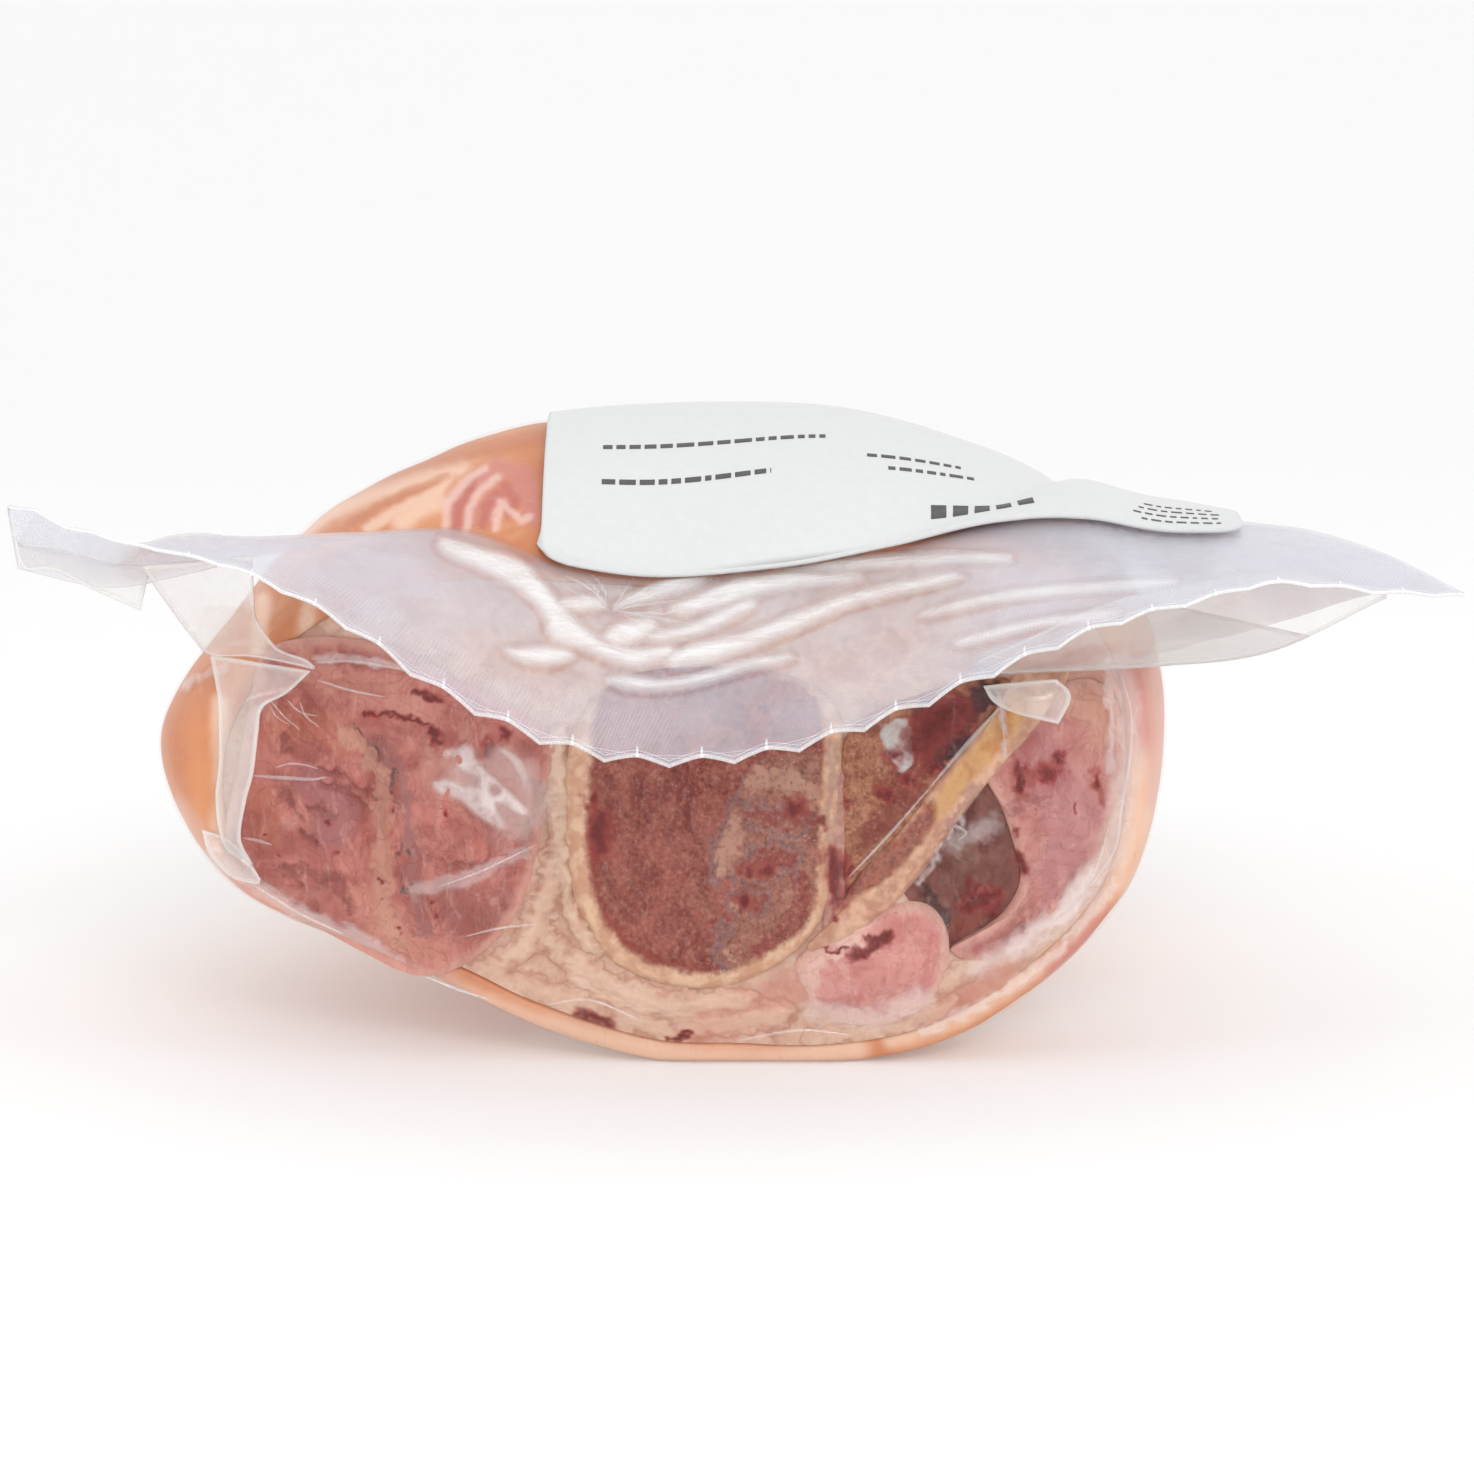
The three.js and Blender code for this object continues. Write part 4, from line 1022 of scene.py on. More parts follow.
CARTILAGE = [(24, 45), (26.6, 45.5), (27, 38), (26.8, 30), (26.6, 22.5), (24.2, 19.5), (23.2, 22.5),
    (24, 30), (24.2, 38)]


def shin_fields(rings):
    """How deep each point lies inside the core and the growth plate, in mm."""
    x, z = rings[..., 0], rings[..., 2]
    return {"core": depth_inside(x, z, CORE), "growth": depth_inside(x, z, GROWTH, 160)}


def bone_relief(x, z):
    """The saw left the core a little below its hard ring, with a fine chatter."""
    inside = smooth(depth_inside(x, z, CORE) / 1.2)
    flat = np.stack([x, np.zeros_like(x), z], -1)
    return 0.4 * inside + 0.15 * ripples(flat, 1.6, 31) + 0.2 * ripples(flat, 6, 33)


def shin_material():
    """Cream ring, red-brown sponge with pale grains, and the tan growth plate with lilac seams."""
    r = Recipe("shin_bone", Roughness=0.34, Subsurface_Weight=0.08, Subsurface_Scale=0.002,
               Specular_IOR_Level=0.3)
    wobble = r.scaled(r.noise(1.5, 5.0, 0.7), 2.4, -1.2)
    ring = r.blend(r.step(r.noise(2.4, 4.0), 0.4, 0.66), tone(214, 164, 134), tone(236, 198, 166))
    lumps = r.noise(4.0, 6.0, 0.7, 0.6, r.place((1, 1, 0.6), (0, 0.7, 0)))
    sponge = r.blend(r.step(lumps, 0.36, 0.62), tone(128, 50, 43), tone(168, 92, 78))
    sponge = r.blend(r.step(r.noise(6, 4.0, 0.6), 0.5, 0.66, 0.0, 0.35), sponge, tone(164, 106, 84))
    core = r.math("ADD", r.field("core"), wobble)
    sponge = r.blend(r.step(core, 0.4, 2.4, 0.5, 0.0), sponge, tone(150, 64, 50))
    plate = r.blend(r.step(r.noise(2.2, 5.0, 0.7), 0.36, 0.6), tone(138, 78, 66), tone(174, 116, 96))
    plate = r.blend(r.ragged("light", 2.0, 0.2, 0.8, 0.6), plate, tone(196, 148, 126))
    plate = r.blend(r.ragged("island", 1.8, 0.35, 0.7, 0.7), plate, tone(150, 74, 64))
    growth = r.math("ADD", r.field("growth"), r.math("MULTIPLY", wobble, 0.3))
    colour = r.blend(r.step(growth, -0.3, 0.5, 0.0, 0.9), sponge, plate)
    colour = r.marked(colour, tone(142, 102, 100), 0.8, "seam", 0.8, 0.05, 0.6, 0.15)
    grains = r.noise(0.8, 4.0, 0.8)
    colour = r.blend(r.step(grains, 0.52, 0.64, 0.0, 0.42), colour, tone(202, 146, 124))
    colour = r.blend(r.step(grains, 0.36, 0.48, 0.55, 0.0), colour, tone(92, 32, 28))
    colour = r.marked(colour, tone(146, 58, 46), 0.7, "rim_red", 2.0, 0.1, 1.0, 0.5)
    colour = r.blend(r.step(core, -0.6, 0.8), ring, colour)
    colour = r.marked(colour, tone(174, 134, 124), 0.6, "grey", 2.0, 0.1, 1.0, 0.2)
    specks = r.math("MULTIPLY", r.step(r.noise(0.45, 2.0), 0.7, 0.78), r.step(r.noise(8, 3.0), 0.5, 0.62))
    colour = r.blend(specks, colour, tone(240, 216, 208))
    r.set(Base_Color=bled(r, colour))
    r.set(Normal=r.bump(r.noise(0.7, 5.0, 0.75), 0.35, 0.9))
    return r.material


def second_bone_material():
    """Tan spongy bone, redder towards the right, with a dark clotted corner and a grey-white cap."""
    r = Recipe("second_bone", Roughness=0.32, Specular_IOR_Level=0.3)
    colour = r.blend(r.step(r.noise(2.4, 6.0, 0.75), 0.38, 0.6), tone(142, 80, 58), tone(182, 124, 92))
    colour = r.marked(colour, tone(130, 50, 42), 0.75, "red", 4, 0.2, 0.8, 0.7)
    grains = r.noise(0.6, 4.0, 0.8)
    colour = r.blend(r.step(grains, 0.28, 0.46, 0.6, 0.0), colour, tone(120, 54, 44))
    colour = r.blend(r.step(grains, 0.54, 0.72, 0.0, 0.4), colour, tone(222, 182, 150))
    colour = r.blend(r.ragged("dark", 2.4, 0.25, 0.7, 0.9), colour, tone(70, 30, 34))
    cap = r.math("ADD", r.field("cap"), r.scaled(r.noise(1.5, 4.0), 1.6, 0.5))
    colour = r.blend(r.step(cap, 0.6, 1.2, 0.0, 0.9), colour, tone(208, 206, 202))
    r.set(Base_Color=bled(r, colour))
    r.set(Normal=r.bump(r.noise(0.8, 5.0, 0.7), 0.35, 0.9))
    return r.material


def cartilage_material():
    """Lilac-grey gristle between the bones."""
    r = Recipe("cartilage", Roughness=0.35, Specular_IOR_Level=0.3)
    colour = r.blend(r.step(r.noise(1.6, 5.0), 0.4, 0.62), tone(170, 122, 110), tone(196, 150, 134))
    r.set(Base_Color=bled(r, colour))
    return r.material


cushion("shin_bone", SHIN, shin_material(), below=0.4, edge=1.2, roundness=30, relief=bone_relief,
        around=300, rows=110, marks=SHIN_MARKS, extra=shin_fields)
SECOND_MARKS = {
    "red": [([(34, 41), (40, 46), (44, 50)], 3.2), ([(30, 34), (36, 40)], 2)],
    "dark": [([(38.4, 52), (42.4, 49.5), (40.2, 46.6)], 2.9), ([(44, 53), (47, 55)], 2.4)]}
cushion("second_bone", SECOND_BONE, second_bone_material(), below=0.6, edge=0.9, roundness=20,
        relief=folds(3.4, 32, 0.3), rows=84, around=240, marks=SECOND_MARKS,
        extra=lambda rings: {"cap": depth_inside(rings[..., 0], rings[..., 2], CAP)})
cushion("cartilage", CARTILAGE, cartilage_material(), below=0.9, edge=1.0, rows=32, around=120)

# %% [markdown]
# A ridge crosses the face from the top right to the foot of the small bone: cream at its rim, with
# yellow fat in the upper half and a brown-red strip of bone in the lower half.

# %% Ridge of fat
YELLOW = [(50.1, 54.9), (46.1, 49.2), (42.2, 44.3), (39.4, 40.2), (38.6, 36.8), (41.2, 37.8), (45, 42.6),
    (49.4, 47.5), (53.1, 53)]
BROWN = [(39, 40.2), (35, 36), (31.4, 32.2), (27.6, 28), (27.4, 25.2), (32, 27.6), (36.4, 31.9),
    (39.6, 36.4)]


def ridge_material():
    """Cream with soft yellow and brown-red fields, each fading over about a millimetre."""
    r = Recipe("ridge", Roughness=0.28, Subsurface_Weight=0.15, Subsurface_Scale=0.003,
               Specular_IOR_Level=0.3)
    colour = r.blend(r.step(r.noise(3.0, 5.0, 0.6), 0.36, 0.62), tone(190, 138, 114), tone(220, 178, 150))
    colour = r.marked(colour, tone(170, 130, 122), 0.7, "grey", 2.0, 0.1, 1.0, 0.2)
    wobble = r.scaled(r.noise(2.0, 5.0, 0.65), 2.0, -1.0)
    yellow = r.math("ADD", r.field("yellow"), wobble)
    rich = r.blend(r.step(r.noise(4.0, 4.0, 0.6), 0.4, 0.62), tone(190, 128, 74), tone(208, 160, 106))
    colour = r.blend(r.step(yellow, -0.7, 0.9, 0.0, 0.9), colour, rich)
    brown = r.math("ADD", r.field("brown"), wobble)
    strip = r.blend(r.step(r.noise(0.9, 5.0, 0.75), 0.38, 0.6), tone(122, 54, 46), tone(162, 94, 76))
    colour = r.blend(r.step(brown, -0.5, 0.7, 0.0, 0.9), colour, strip)
    r.set(Base_Color=bled(r, colour))
    r.set(Normal=r.bump(r.noise(1.8, 5.0, 0.6), 0.4, 0.6))
    return r.material


def ridge_fields(rings):
    """Distance inside the yellow and the brown field, in mm."""
    x, z = rings[..., 0], rings[..., 2]
    return {"yellow": depth_inside(x, z, YELLOW), "brown": depth_inside(x, z, BROWN)}


cushion("ridge", RIDGE, ridge_material(), below=0.1, edge=1.5, roundness=8, rows=64, around=260,
        relief=folds(6, 27, 0.25), extra=ridge_fields,
        marks={"grey": [([(46.6, 42.0), (44.4, 39.6), (42.3, 36.5), (40.9, 33.8)], 0.7)]})

# %% [markdown]
# ## The film
#
# Vacuum film lies on everything like a second skin. It is hardly there: it mirrors a little light,
# more at grazing angles, and turns milky where it is creased or holds air. So its shader mixes
# clear with a Principled surface. The share of that surface is gloss plus haze, and the same two
# numbers decide how metallic it is, because a mirror is a metal and haze is not. Over the sawn
# face some haze is painted highlight: a patch of glare, a soft sheen and white streaks.

# %% Film skin over the meat
def film_material(name, white, haze_of, gloss=0.05, grazing=0.3, roughness=0.1, detail=None):
    """Clear film: the mirror's share is gloss, growing by grazing where the film is seen edge-on;
    the haze's share comes from a function of the recipe, and so may its colour."""
    r = Recipe(name, Roughness=roughness)
    r.set(Base_Color=white(r) if callable(white) else white)
    facing = r.node("ShaderNodeLayerWeight", 0.22).outputs["Fresnel"]
    mirror = r.scaled(facing, grazing, gloss)
    cover = r.math("ADD", mirror, haze_of(r), clamp=True)
    r.set(Metallic=r.math("DIVIDE", mirror, cover))
    if detail is not None:
        r.set(Normal=detail(r))
    r.see_through(cover)
    return r.material


# the glare patch, its hole and its band outline painted highlights: white haze where the film gleams
GLARE = [(-31.8, 46.4), (-30.9, 47), (-29.7, 47.1), (-28.9, 47.6), (-27.9, 47.6), (-27.1, 46.4),
    (-26.7, 44.9), (-25.4, 43.6), (-24, 42.2), (-22.7, 41.1), (-21.5, 40), (-20.4, 38.8), (-19.4, 37.5),
    (-20.4, 37.2), (-21.8, 38), (-23.1, 38.8), (-24.2, 39), (-23.9, 37.8), (-23.2, 36.5), (-22.6, 35.3),
    (-23.6, 35), (-24.8, 35.7), (-26.2, 36.6), (-27.4, 37.5), (-28.5, 38.6), (-29.7, 39.4), (-31.1, 39.9),
    (-32.4, 40.3), (-33.3, 41.2), (-33.4, 42.2), (-32.3, 42.4), (-31.1, 42.4), (-29.9, 42), (-29.2, 41.5),
    (-28.5, 41.2), (-27.9, 41.7), (-27, 41.2), (-26.5, 42), (-26.4, 42.7), (-27.3, 43.1), (-28.5, 43.6),
    (-29.5, 44.2), (-29.8, 44.9), (-29.2, 45.5), (-30, 45.8), (-30.8, 45.9), (-31.2, 45.3), (-31.6, 45.6)]
GLARE_HOLE = [(-25.0, 42.0), (-24.0, 41.7), (-23.3, 40.9), (-23.7, 40.2), (-24.6, 40.0), (-25.0, 40.8)]
GLARE_BAND = [(-23.8, 47.3), (-22.5, 47), (-21.3, 46.2), (-20.3, 45.1), (-19.6, 43.6), (-19.2, 41.8),
    (-19.1, 40), (-19.8, 40.9), (-20.5, 42.5), (-21.4, 44.2), (-22.4, 45.5), (-23.5, 46.4)]
# creases that show both as a veil in the film and as a thread on it
RIGHT_CREASE = [(66.3, 58.4), (67.9, 52.7), (68, 46.5), (66.8, 38.3), (65.8, 32), (61.3, 25.3),
    (57.3, 21.5)]
BONE_CREASE = [(48.9, 55.2), (49.4, 50.5), (49.9, 46.1)]
LOWER_CREASE = [(-61.7, 28.2), (-55.9, 24.4), (-52.2, 22.2), (-46.4, 19.4)]
# painted soft highlights in the film's haze
SHEEN = [([(-23, 45), (-20, 43), (-18.4, 39), (-21, 36)], 3), ([(-29, 43), (-25, 41), (-22, 37)], 3),
    ([(-36, 26), (-28, 28), (-20, 32)], 1.2), ([(22, 8), (30, 7), (38, 10)], 2),
    ([(52, 17), (58, 22), (62, 28)], 1.8), ([(43, 33), (48, 36)], 1.6)]
# whitened creases of the film, and painted highlight streaks and patches
VEIL_AND_GLEAM = [(RIGHT_CREASE, 2.4), ([(46, 14.2), (50.8, 17.4), (55.6, 21.2)], 1.7),
    ([(64.5, 60), (65.2, 52), (64.8, 44)], 0.8), ([(66, 27), (58, 17), (48, 9.4), (38, 5)], 0.9),
    ([(-69.3, 56.4), (-62.6, 58.9)], 0.8), ([(-66, 31.5), (-60, 27), (-52.9, 22.2), (-44.2, 18.4)], 1),
    (LOWER_CREASE, 1.4), (BONE_CREASE, 0.5), ([(43.3, 36.6), (40.1, 31.3), (36.8, 26.7)], 0.45),
    (TOP_FOLD, 0.7), ([(-46, 20), (-40, 16), (-34, 12)], 1.2)]


# the white patches are painted highlights of glare on the film
GLARE_EDGE, BAND_EDGE = 2.2, 1.2    # mm over which the white patches fade in
FILM_WANDER = 0.4


def film_rings(around=440):
    """The same rings as the solid's body, finer: over the face, along the meat, round the end."""
    angle = np.arange(around) / around * TURN
    rows = []
    for i in np.linspace(0.012, 1, 128):
        ring = body_point(angle, 0.0, math.sin(i * math.pi / 2))
        ring[:, 1] = face_film(ring[:, 0], ring[:, 2])
        rows.append(ring)
    for t in np.linspace(0.01, 1, 60) ** 1.5:
        rows.append(body_point(angle, STRAIGHT_LENGTH * t))
    rows += narrow_end(rows[-1], 0.0, 14, np.linspace(1, 0.06, 10)[1:])
    return np.stack(rows)


def skin_haze(r):
    """Next to none, more on veils, which are whitened creases and painted highlight streaks; a
    painted soft sheen; painted highlight patches of glare with crisp edges that thin out in
    clouds; and fine scratches that run with the tension of the film."""
    veil_and_gleam = r.math("MULTIPLY", r.ragged("veil_and_gleam", 1.5, 0.1, 1.0, 0.3), 0.34)
    patch = r.ragged("glare", 1.6, 0.3, 0.8, 0.2)
    glare = r.math("MULTIPLY", patch, r.step(r.noise(2.6, 5.0, 0.6), 0.3, 0.62, 0.22, 0.5))
    band = r.math("MULTIPLY", r.ragged("band", 2.4, 0.2, 0.9, 0.3), 0.26)
    sheen = r.math("MULTIPLY", r.ragged("sheen", 3.0, 0.1, 0.9, 0.5), 0.24)
    scratches = r.math("MULTIPLY", r.veins(7, 0.012, 0.8, r.place((1, 1, 0.3), (0, 1.1, 0))), 0.06)
    base = r.math("MULTIPLY", r.step(r.noise(9, 5.0, 0.6), 0.55, 0.8), 0.02)
    total = r.math("ADD", r.math("ADD", base, veil_and_gleam), r.math("ADD", glare, sheen))
    return r.math("ADD", r.math("ADD", total, band), scratches)


def skin_detail(r):
    """Fine tension wrinkles, long in one direction."""
    wrinkles = r.noise(4.0, 5.0, 0.6, 1.2, r.place((1, 1, 0.4), (0, 0.9, 0)))
    return r.bump(wrinkles, 0.8, 0.4)


film = film_rings()
seen_x, seen_z = seen_on_face(film)
skin = film_material("film_skin", tone(248, 236, 233), skin_haze, 0.022, 0.16, 0.08, skin_detail)
patch = np.minimum(depth_inside(seen_x, seen_z, GLARE, 150), -depth_inside(seen_x, seen_z, GLARE_HOLE, 36))
band = depth_inside(seen_x, seen_z, GLARE_BAND, 60)
skin_fields = {
    "glare": np.clip(0.5 + patch / GLARE_EDGE, 0, 1),
    "band": np.clip(0.4 + band / BAND_EDGE, 0, 1),
    "veil_and_gleam": strokes(seen_x, seen_z, VEIL_AND_GLEAM, FILM_WANDER),
    "sheen": strokes(seen_x, seen_z, SHEEN, FILM_WANDER)}
ringed("film_skin", film, skin, skin_fields)

# %% [markdown]
# Where the skin is creased, thin bright threads show. A bump could draw them, but a thread of real
# geometry gleams in every view. The threads follow the film, a hair in front of it.

# %% Creases of the skin
CREASES = [([(-59.4, 43), (-54.8, 42.7), (-50.8, 42.5), (-48.8, 42.8)], 0.3),
    ([(-56.2, 44.2), (-54, 44.8), (-51.8, 44.6), (-49.8, 44)], 0.16),
    ([(-61, 33.8), (-58.8, 33.4), (-56.8, 32.8)], 0.26),
    ([(-57.9, 52.4), (-57, 54.2), (-54.8, 51.8), (-52.5, 49.8)], 0.14),
    ([(-54.3, 54.2), (-52.4, 52.4), (-49.8, 51.8)], 0.16),
    ([(-52.4, 53.9), (-51.6, 51.8), (-49.7, 50.2)], 0.14),
    ([(-56.8, 53.4), (-55.9, 51.8), (-53.9, 50.4)], 0.12),
    ([(-32.9, 26.5), (-26.6, 28.8), (-18.2, 32.9)], 0.2),
    ([(-50.3, 59.6), (-45.8, 59.9), (-41.5, 59.4), (-36.7, 58.5)], 0.28),
    ([(-49.8, 57.1), (-45.1, 55.6), (-40.1, 54.6)], 0.22),
    ([(-28.7, 19.2), (-23.7, 20.4), (-18.3, 21)], 0.2), ([(50.4, 54.6), (45, 48.6), (38.9, 41.3)], 0.3),
    ([(38.9, 41.3), (33.1, 34.4), (27.1, 27.9)], 0.22), (BONE_CREASE, 0.22), (RIGHT_CREASE, 0.3),
    ([(42.6, 35.8), (44.2, 34.6), (43, 33.4)], 0.2), (LOWER_CREASE, 0.26),
    ([(-34.8, 13.2), (-29.7, 11.1), (-25.1, 9.6)], 0.24),
    ([(-17.2, 8.9), (-10.6, 9.6), (-3.3, 6.6)], 0.2), ([(11.3, 3.6), (20.1, 5.1), (27.4, 4.4)], 0.24),
    ([(60.5, 24), (63.5, 30), (65, 36)], 0.2)]
crease_film = film_material("film_crease", tone(252, 248, 248), lambda r: 0.12, 0.06, 0.3, 0.15)
many_strands("film_creases", CREASES, crease_film, 0.8, lambda x, z: on_film(x, z, -0.05))

# %% [markdown]
# ## The mouth seal
#
# Two films welded on each other turn milky. The pinking knife leaves teeth with hollow sides, and
# bends the film white along the cut. Between its root and the welded strip the sheet lies in long
# folds that catch the light; the folds bulge, and their gleams are painted highlights in the haze.
# The grid's columns follow the teeth, so each tip is a vertex.

# %% Mouth seal sheet
PINCH = (-7.3, 67.1)   # where the folds run together, on the face's plane
FOLDS = [ [(-31.9, 77.7), (-26.1, 76.2), (-20.1, 74.5), (-17.4, 71.6), (-14.7, 68.4), (-11.5, 65),
    (-8.6, 62.8), (-5.7, 61.8), (-2.4, 61.5), (0.5, 62.1), (2.2, 61.8), (1.8, 60.3), (-1, 59.5),
    (-3.9, 58.9), (-7.5, 59.5), (-10.4, 60.8), (-13, 61.8), (-15.3, 62.2), (-16.6, 63.6), (-17.1, 66.2),
    (-19, 68.5), (-22.1, 70.8), (-26.2, 73), (-29.8, 74.6), (-32.2, 75.8)], [(-22.8, 61.4), (-20.2, 61.8),
    (-16.9, 61.8), (-13.8, 61.4), (-12.5, 60.5), (-14.1, 59.5), (-16.9, 58.9), (-19.8, 59.3),
    (-21.8, 60.2)], [(-8.6, 62.8), (-7.6, 64.6), (-5.3, 65.6), (-2.4, 66), (-0.8, 65.5), (-1.1, 64),
    (-2.7, 62.8), (-4.7, 61.8), (-7.3, 61.8)], [(-2.3, 63.1), (-0.8, 64), (2.6, 64.7), (5.8, 65.9),
    (8.4, 67.2), (11.3, 68.4), (13.3, 68.8), (13.8, 67.9), (12, 66.5), (9.3, 65), (6.1, 63.6),
    (2.6, 62.7), (-0.8, 62.5)], [(0.2, 59.6), (1.3, 60.8), (4.4, 62.2), (8.4, 63.1), (12.8, 64.3),
    (17.1, 66), (21.4, 67.6), (25.7, 69.2), (31.5, 70.7), (37.3, 71.9), (43, 72.7), (43.3, 71.7),
    (37.6, 70.1), (31.8, 68.7), (26.2, 67.1), (21.7, 65), (17.1, 63.1), (12.8, 61.4), (8.4, 59.9),
    (4.4, 58.9), (1.3, 58.6)], [(-8.2, 57), (-5.2, 57.6), (-1.4, 57.1), (2.6, 57.3), (7, 58.4),
    (12, 59.9), (18.5, 60.8), (18.8, 59.9), (13, 58.3), (7.8, 56.8), (4.1, 55.8), (-0.9, 55.2),
    (-5.2, 55.5)], [(-7.2, 67.5), (-4.8, 69.2), (-2.4, 70.6), (1.2, 72), (5.5, 72.9), (7.8, 72.6),
    (5.8, 71), (2.7, 69.8), (-1, 68.7), (-4.3, 67.8)], [(0.9, 67.6), (4.1, 69), (7.3, 70.4), (10.9, 71.7),
    (15.1, 72.4), (20, 72.6), (25, 72.4), (28.6, 72.6), (28.8, 71.7), (24.3, 71), (18.5, 70.4),
    (14.5, 69.4), (10.9, 68.2), (7.3, 67.1), (4.1, 66.3), (1.5, 66.5)],
    [(-15.7, 68.2), (-13.2, 69), (-10, 69.2), (-8, 68.2), (-9.2, 67.2), (-12.9, 66.9)], [(17.1, 73.8),
    (24.3, 74.5), (34.4, 75.1), (43, 75.4), (50.2, 75.2), (50.2, 74.3), (43, 74.2), (34.4, 73.6),
    (24.3, 73), (17.9, 72.9)], [(38, 67.1), (48.8, 69.7), (61.8, 71), (73.3, 71.4), (73.3, 70.6),
    (61.8, 69.8), (48.8, 68.4), (38.7, 66.2)],
    [(43.1, 63), (53.2, 65.6), (64.7, 67.1), (65, 66.3), (53.5, 64.4), (43.7, 61.9)]]
FOLD_HEIGHT = 0.45
TOOTH_HOLLOW = 1.4     # above 1 the sides of a tooth curve in
DOT_RATE = 8.0         # turns of phase per mm of the embossed dots
GLOW = [([(-40, 75), (-60, 78), (-80, 81)], 9.0), ([(52, 72), (80, 75), (100, 73)], 9.0)]


def mouth_sheet(per_tooth=16, rows=116):
    """Rows from the root to the cut. The cut swings back between two tips by the tooth's depth,
    most steeply next to the tips, which makes each tooth's sides hollow."""
    left, right = MOUTH[0, 0], MOUTH[-1, 0]
    teeth = round((right - left) / TOOTH_PITCH)
    u = np.linspace(0, 1, teeth * per_tooth + 1)
    x = mix(left, right, u)
    off_tip = np.abs(((u * teeth) % 1) * 2 - 1)
    reach = np.abs(along(MOUTH, ROOT_Y, x) - along(MOUTH, EDGE_Y, x)) + 8
    back = TOOTH_DEPTH * (1 - (1 - off_tip) ** TOOTH_HOLLOW)
    v = 1 - (1 - np.linspace(0, 1, rows)[:, None]) ** 1.5
    surface = mouth_point(x[None, :], v * (1 - back / reach)[None, :])
    to_cut = (1 - v) * reach[None, :]
    fields = {"to_cut": to_cut, "to_notches": to_cut + back - TOOTH_DEPTH,
              "notch": (off_tip > 0.999)[None, :] * smooth((2.6 - to_cut) / 1.0),
              "along": np.broadcast_to(x[None, :], to_cut.shape)}
    return surface, fields


def mouth_haze(r):
    """Milk that thins out in soft clouds; thin white lines along the cut, inside each tooth and
    from notch to notch; a spike at each notch; rows of embossed dots; and the folds, streaked
    white inside as a painted highlight, and clearer along their hems as painted shade."""
    cut = r.field("to_cut")
    lines = r.step(cut, 0.08, 0.28, 0.34, 0.0)
    inner = r.line(cut, 0.95, 0.04, 0.16, 0.3)
    chord = r.line(r.field("to_notches"), 0.1, 0.04, 0.16, 0.25)
    spike = r.step(r.field("notch"), 0.6, 0.85, 0.0, 0.45)
    across = r.math("ADD", r.field("along"), r.math("MULTIPLY", cut, 0.6))
    down = r.math("SUBTRACT", cut, r.math("MULTIPLY", r.field("along"), 0.5))
    waves = [r.math("SINE", r.math("MULTIPLY", way, DOT_RATE)) for way in (across, down)]
    dots = r.step(r.math("MULTIPLY", *waves), 0.35, 0.8, 0.0, 0.13)
    emboss = r.math("MULTIPLY", dots, r.step(cut, 9.0, 14.0, 1.0, 0.0))
    sides = r.place((0.22, 1, 1), (0, -0.3, 0))
    # painted highlight: white streaks inside the folds; below, painted shade along their hems
    streaks = r.step(r.noise(1.6, 5.0, 0.65, 0.6, sides), 0.3, 0.68, 0.16, 0.5)
    gleam = r.math("MULTIPLY", r.step(r.field("fold"), -0.3, 1.5), streaks)
    hem_shade = r.line(r.field("fold"), -0.6, 0.1, 0.6, -0.08)
    glow = r.math("MULTIPLY", r.field("glow"), 0.2)
    clouds = r.scaled(r.step(r.noise(16, 4.0, 0.6), 0.35, 0.65), 0.1, 0.14)
    grain = r.step(r.noise(0.45, 3.0, 0.75), 0.62, 0.72, 0.0, 0.1)
    total = r.math("ADD", clouds, grain)
    for part in (lines, inner, chord, spike, emboss, gleam, glow, hem_shade):
        total = r.math("ADD", total, part)
    return total


def weld_white(r):
    """Cool grey milk, white along the cut, and white in the folds as a painted highlight."""
    fold_highlight, cut = r.step(r.field("fold"), -0.4, 0.8), r.step(r.field("to_cut"), 0.1, 0.5, 1.0, 0.0)
    return r.blend(r.math("ADD", fold_highlight, cut, clamp=True), tone(228, 228, 237), tone(246, 246, 247))


def weld_detail(r):
    """Small dimples of the welding bar."""
    return r.bump(r.noise(0.7, 3.0, 0.6), 0.12, 0.5)


mouth_surface, mouth_fields = mouth_sheet()
mouth_seen = seen_on_face(mouth_surface)
fold = np.maximum(depth_in_any(*mouth_seen, FOLDS, 48), -3)
mouth_fields.update(fold=fold, glow=strokes(*mouth_seen, GLOW))
bulge = FOLD_HEIGHT * smooth((fold + 0.8) / 2.2)
mouth_surface = mouth_surface - normals_of(mouth_surface) * bulge[..., None]
weld = film_material("weld", weld_white, mouth_haze, 0.025, 0.2, 0.16, weld_detail)
plate("mouth_seal", mouth_surface, SEAL_THICKNESS, weld, "film", mouth_fields)


# %% [markdown]
# Besides the big folds, short wrinkles run out from where the sheet is pinched. No single one
# matters, so they are seeded, and they lie on the sheet's own vertices.

# %% Fine wrinkles that fan out from the pinch
def on_mouth(x, z):
    """The mouth sheet's vertices seen nearest to each (x, z), a hair towards the camera."""
    seen_x, seen_z = mouth_seen
    flat = mouth_surface.reshape(-1, 3)
    nearest = [np.argmin((seen_x.ravel() - a) ** 2 + (seen_z.ravel() - b) ** 2) for a, b in zip(x, z)]
    points = flat[nearest]
    for _ in range(3):
        points[1:-1] = (points[:-2] + 2 * points[1:-1] + points[2:]) / 4
    return points + np.array([0, -0.35, 0.12])


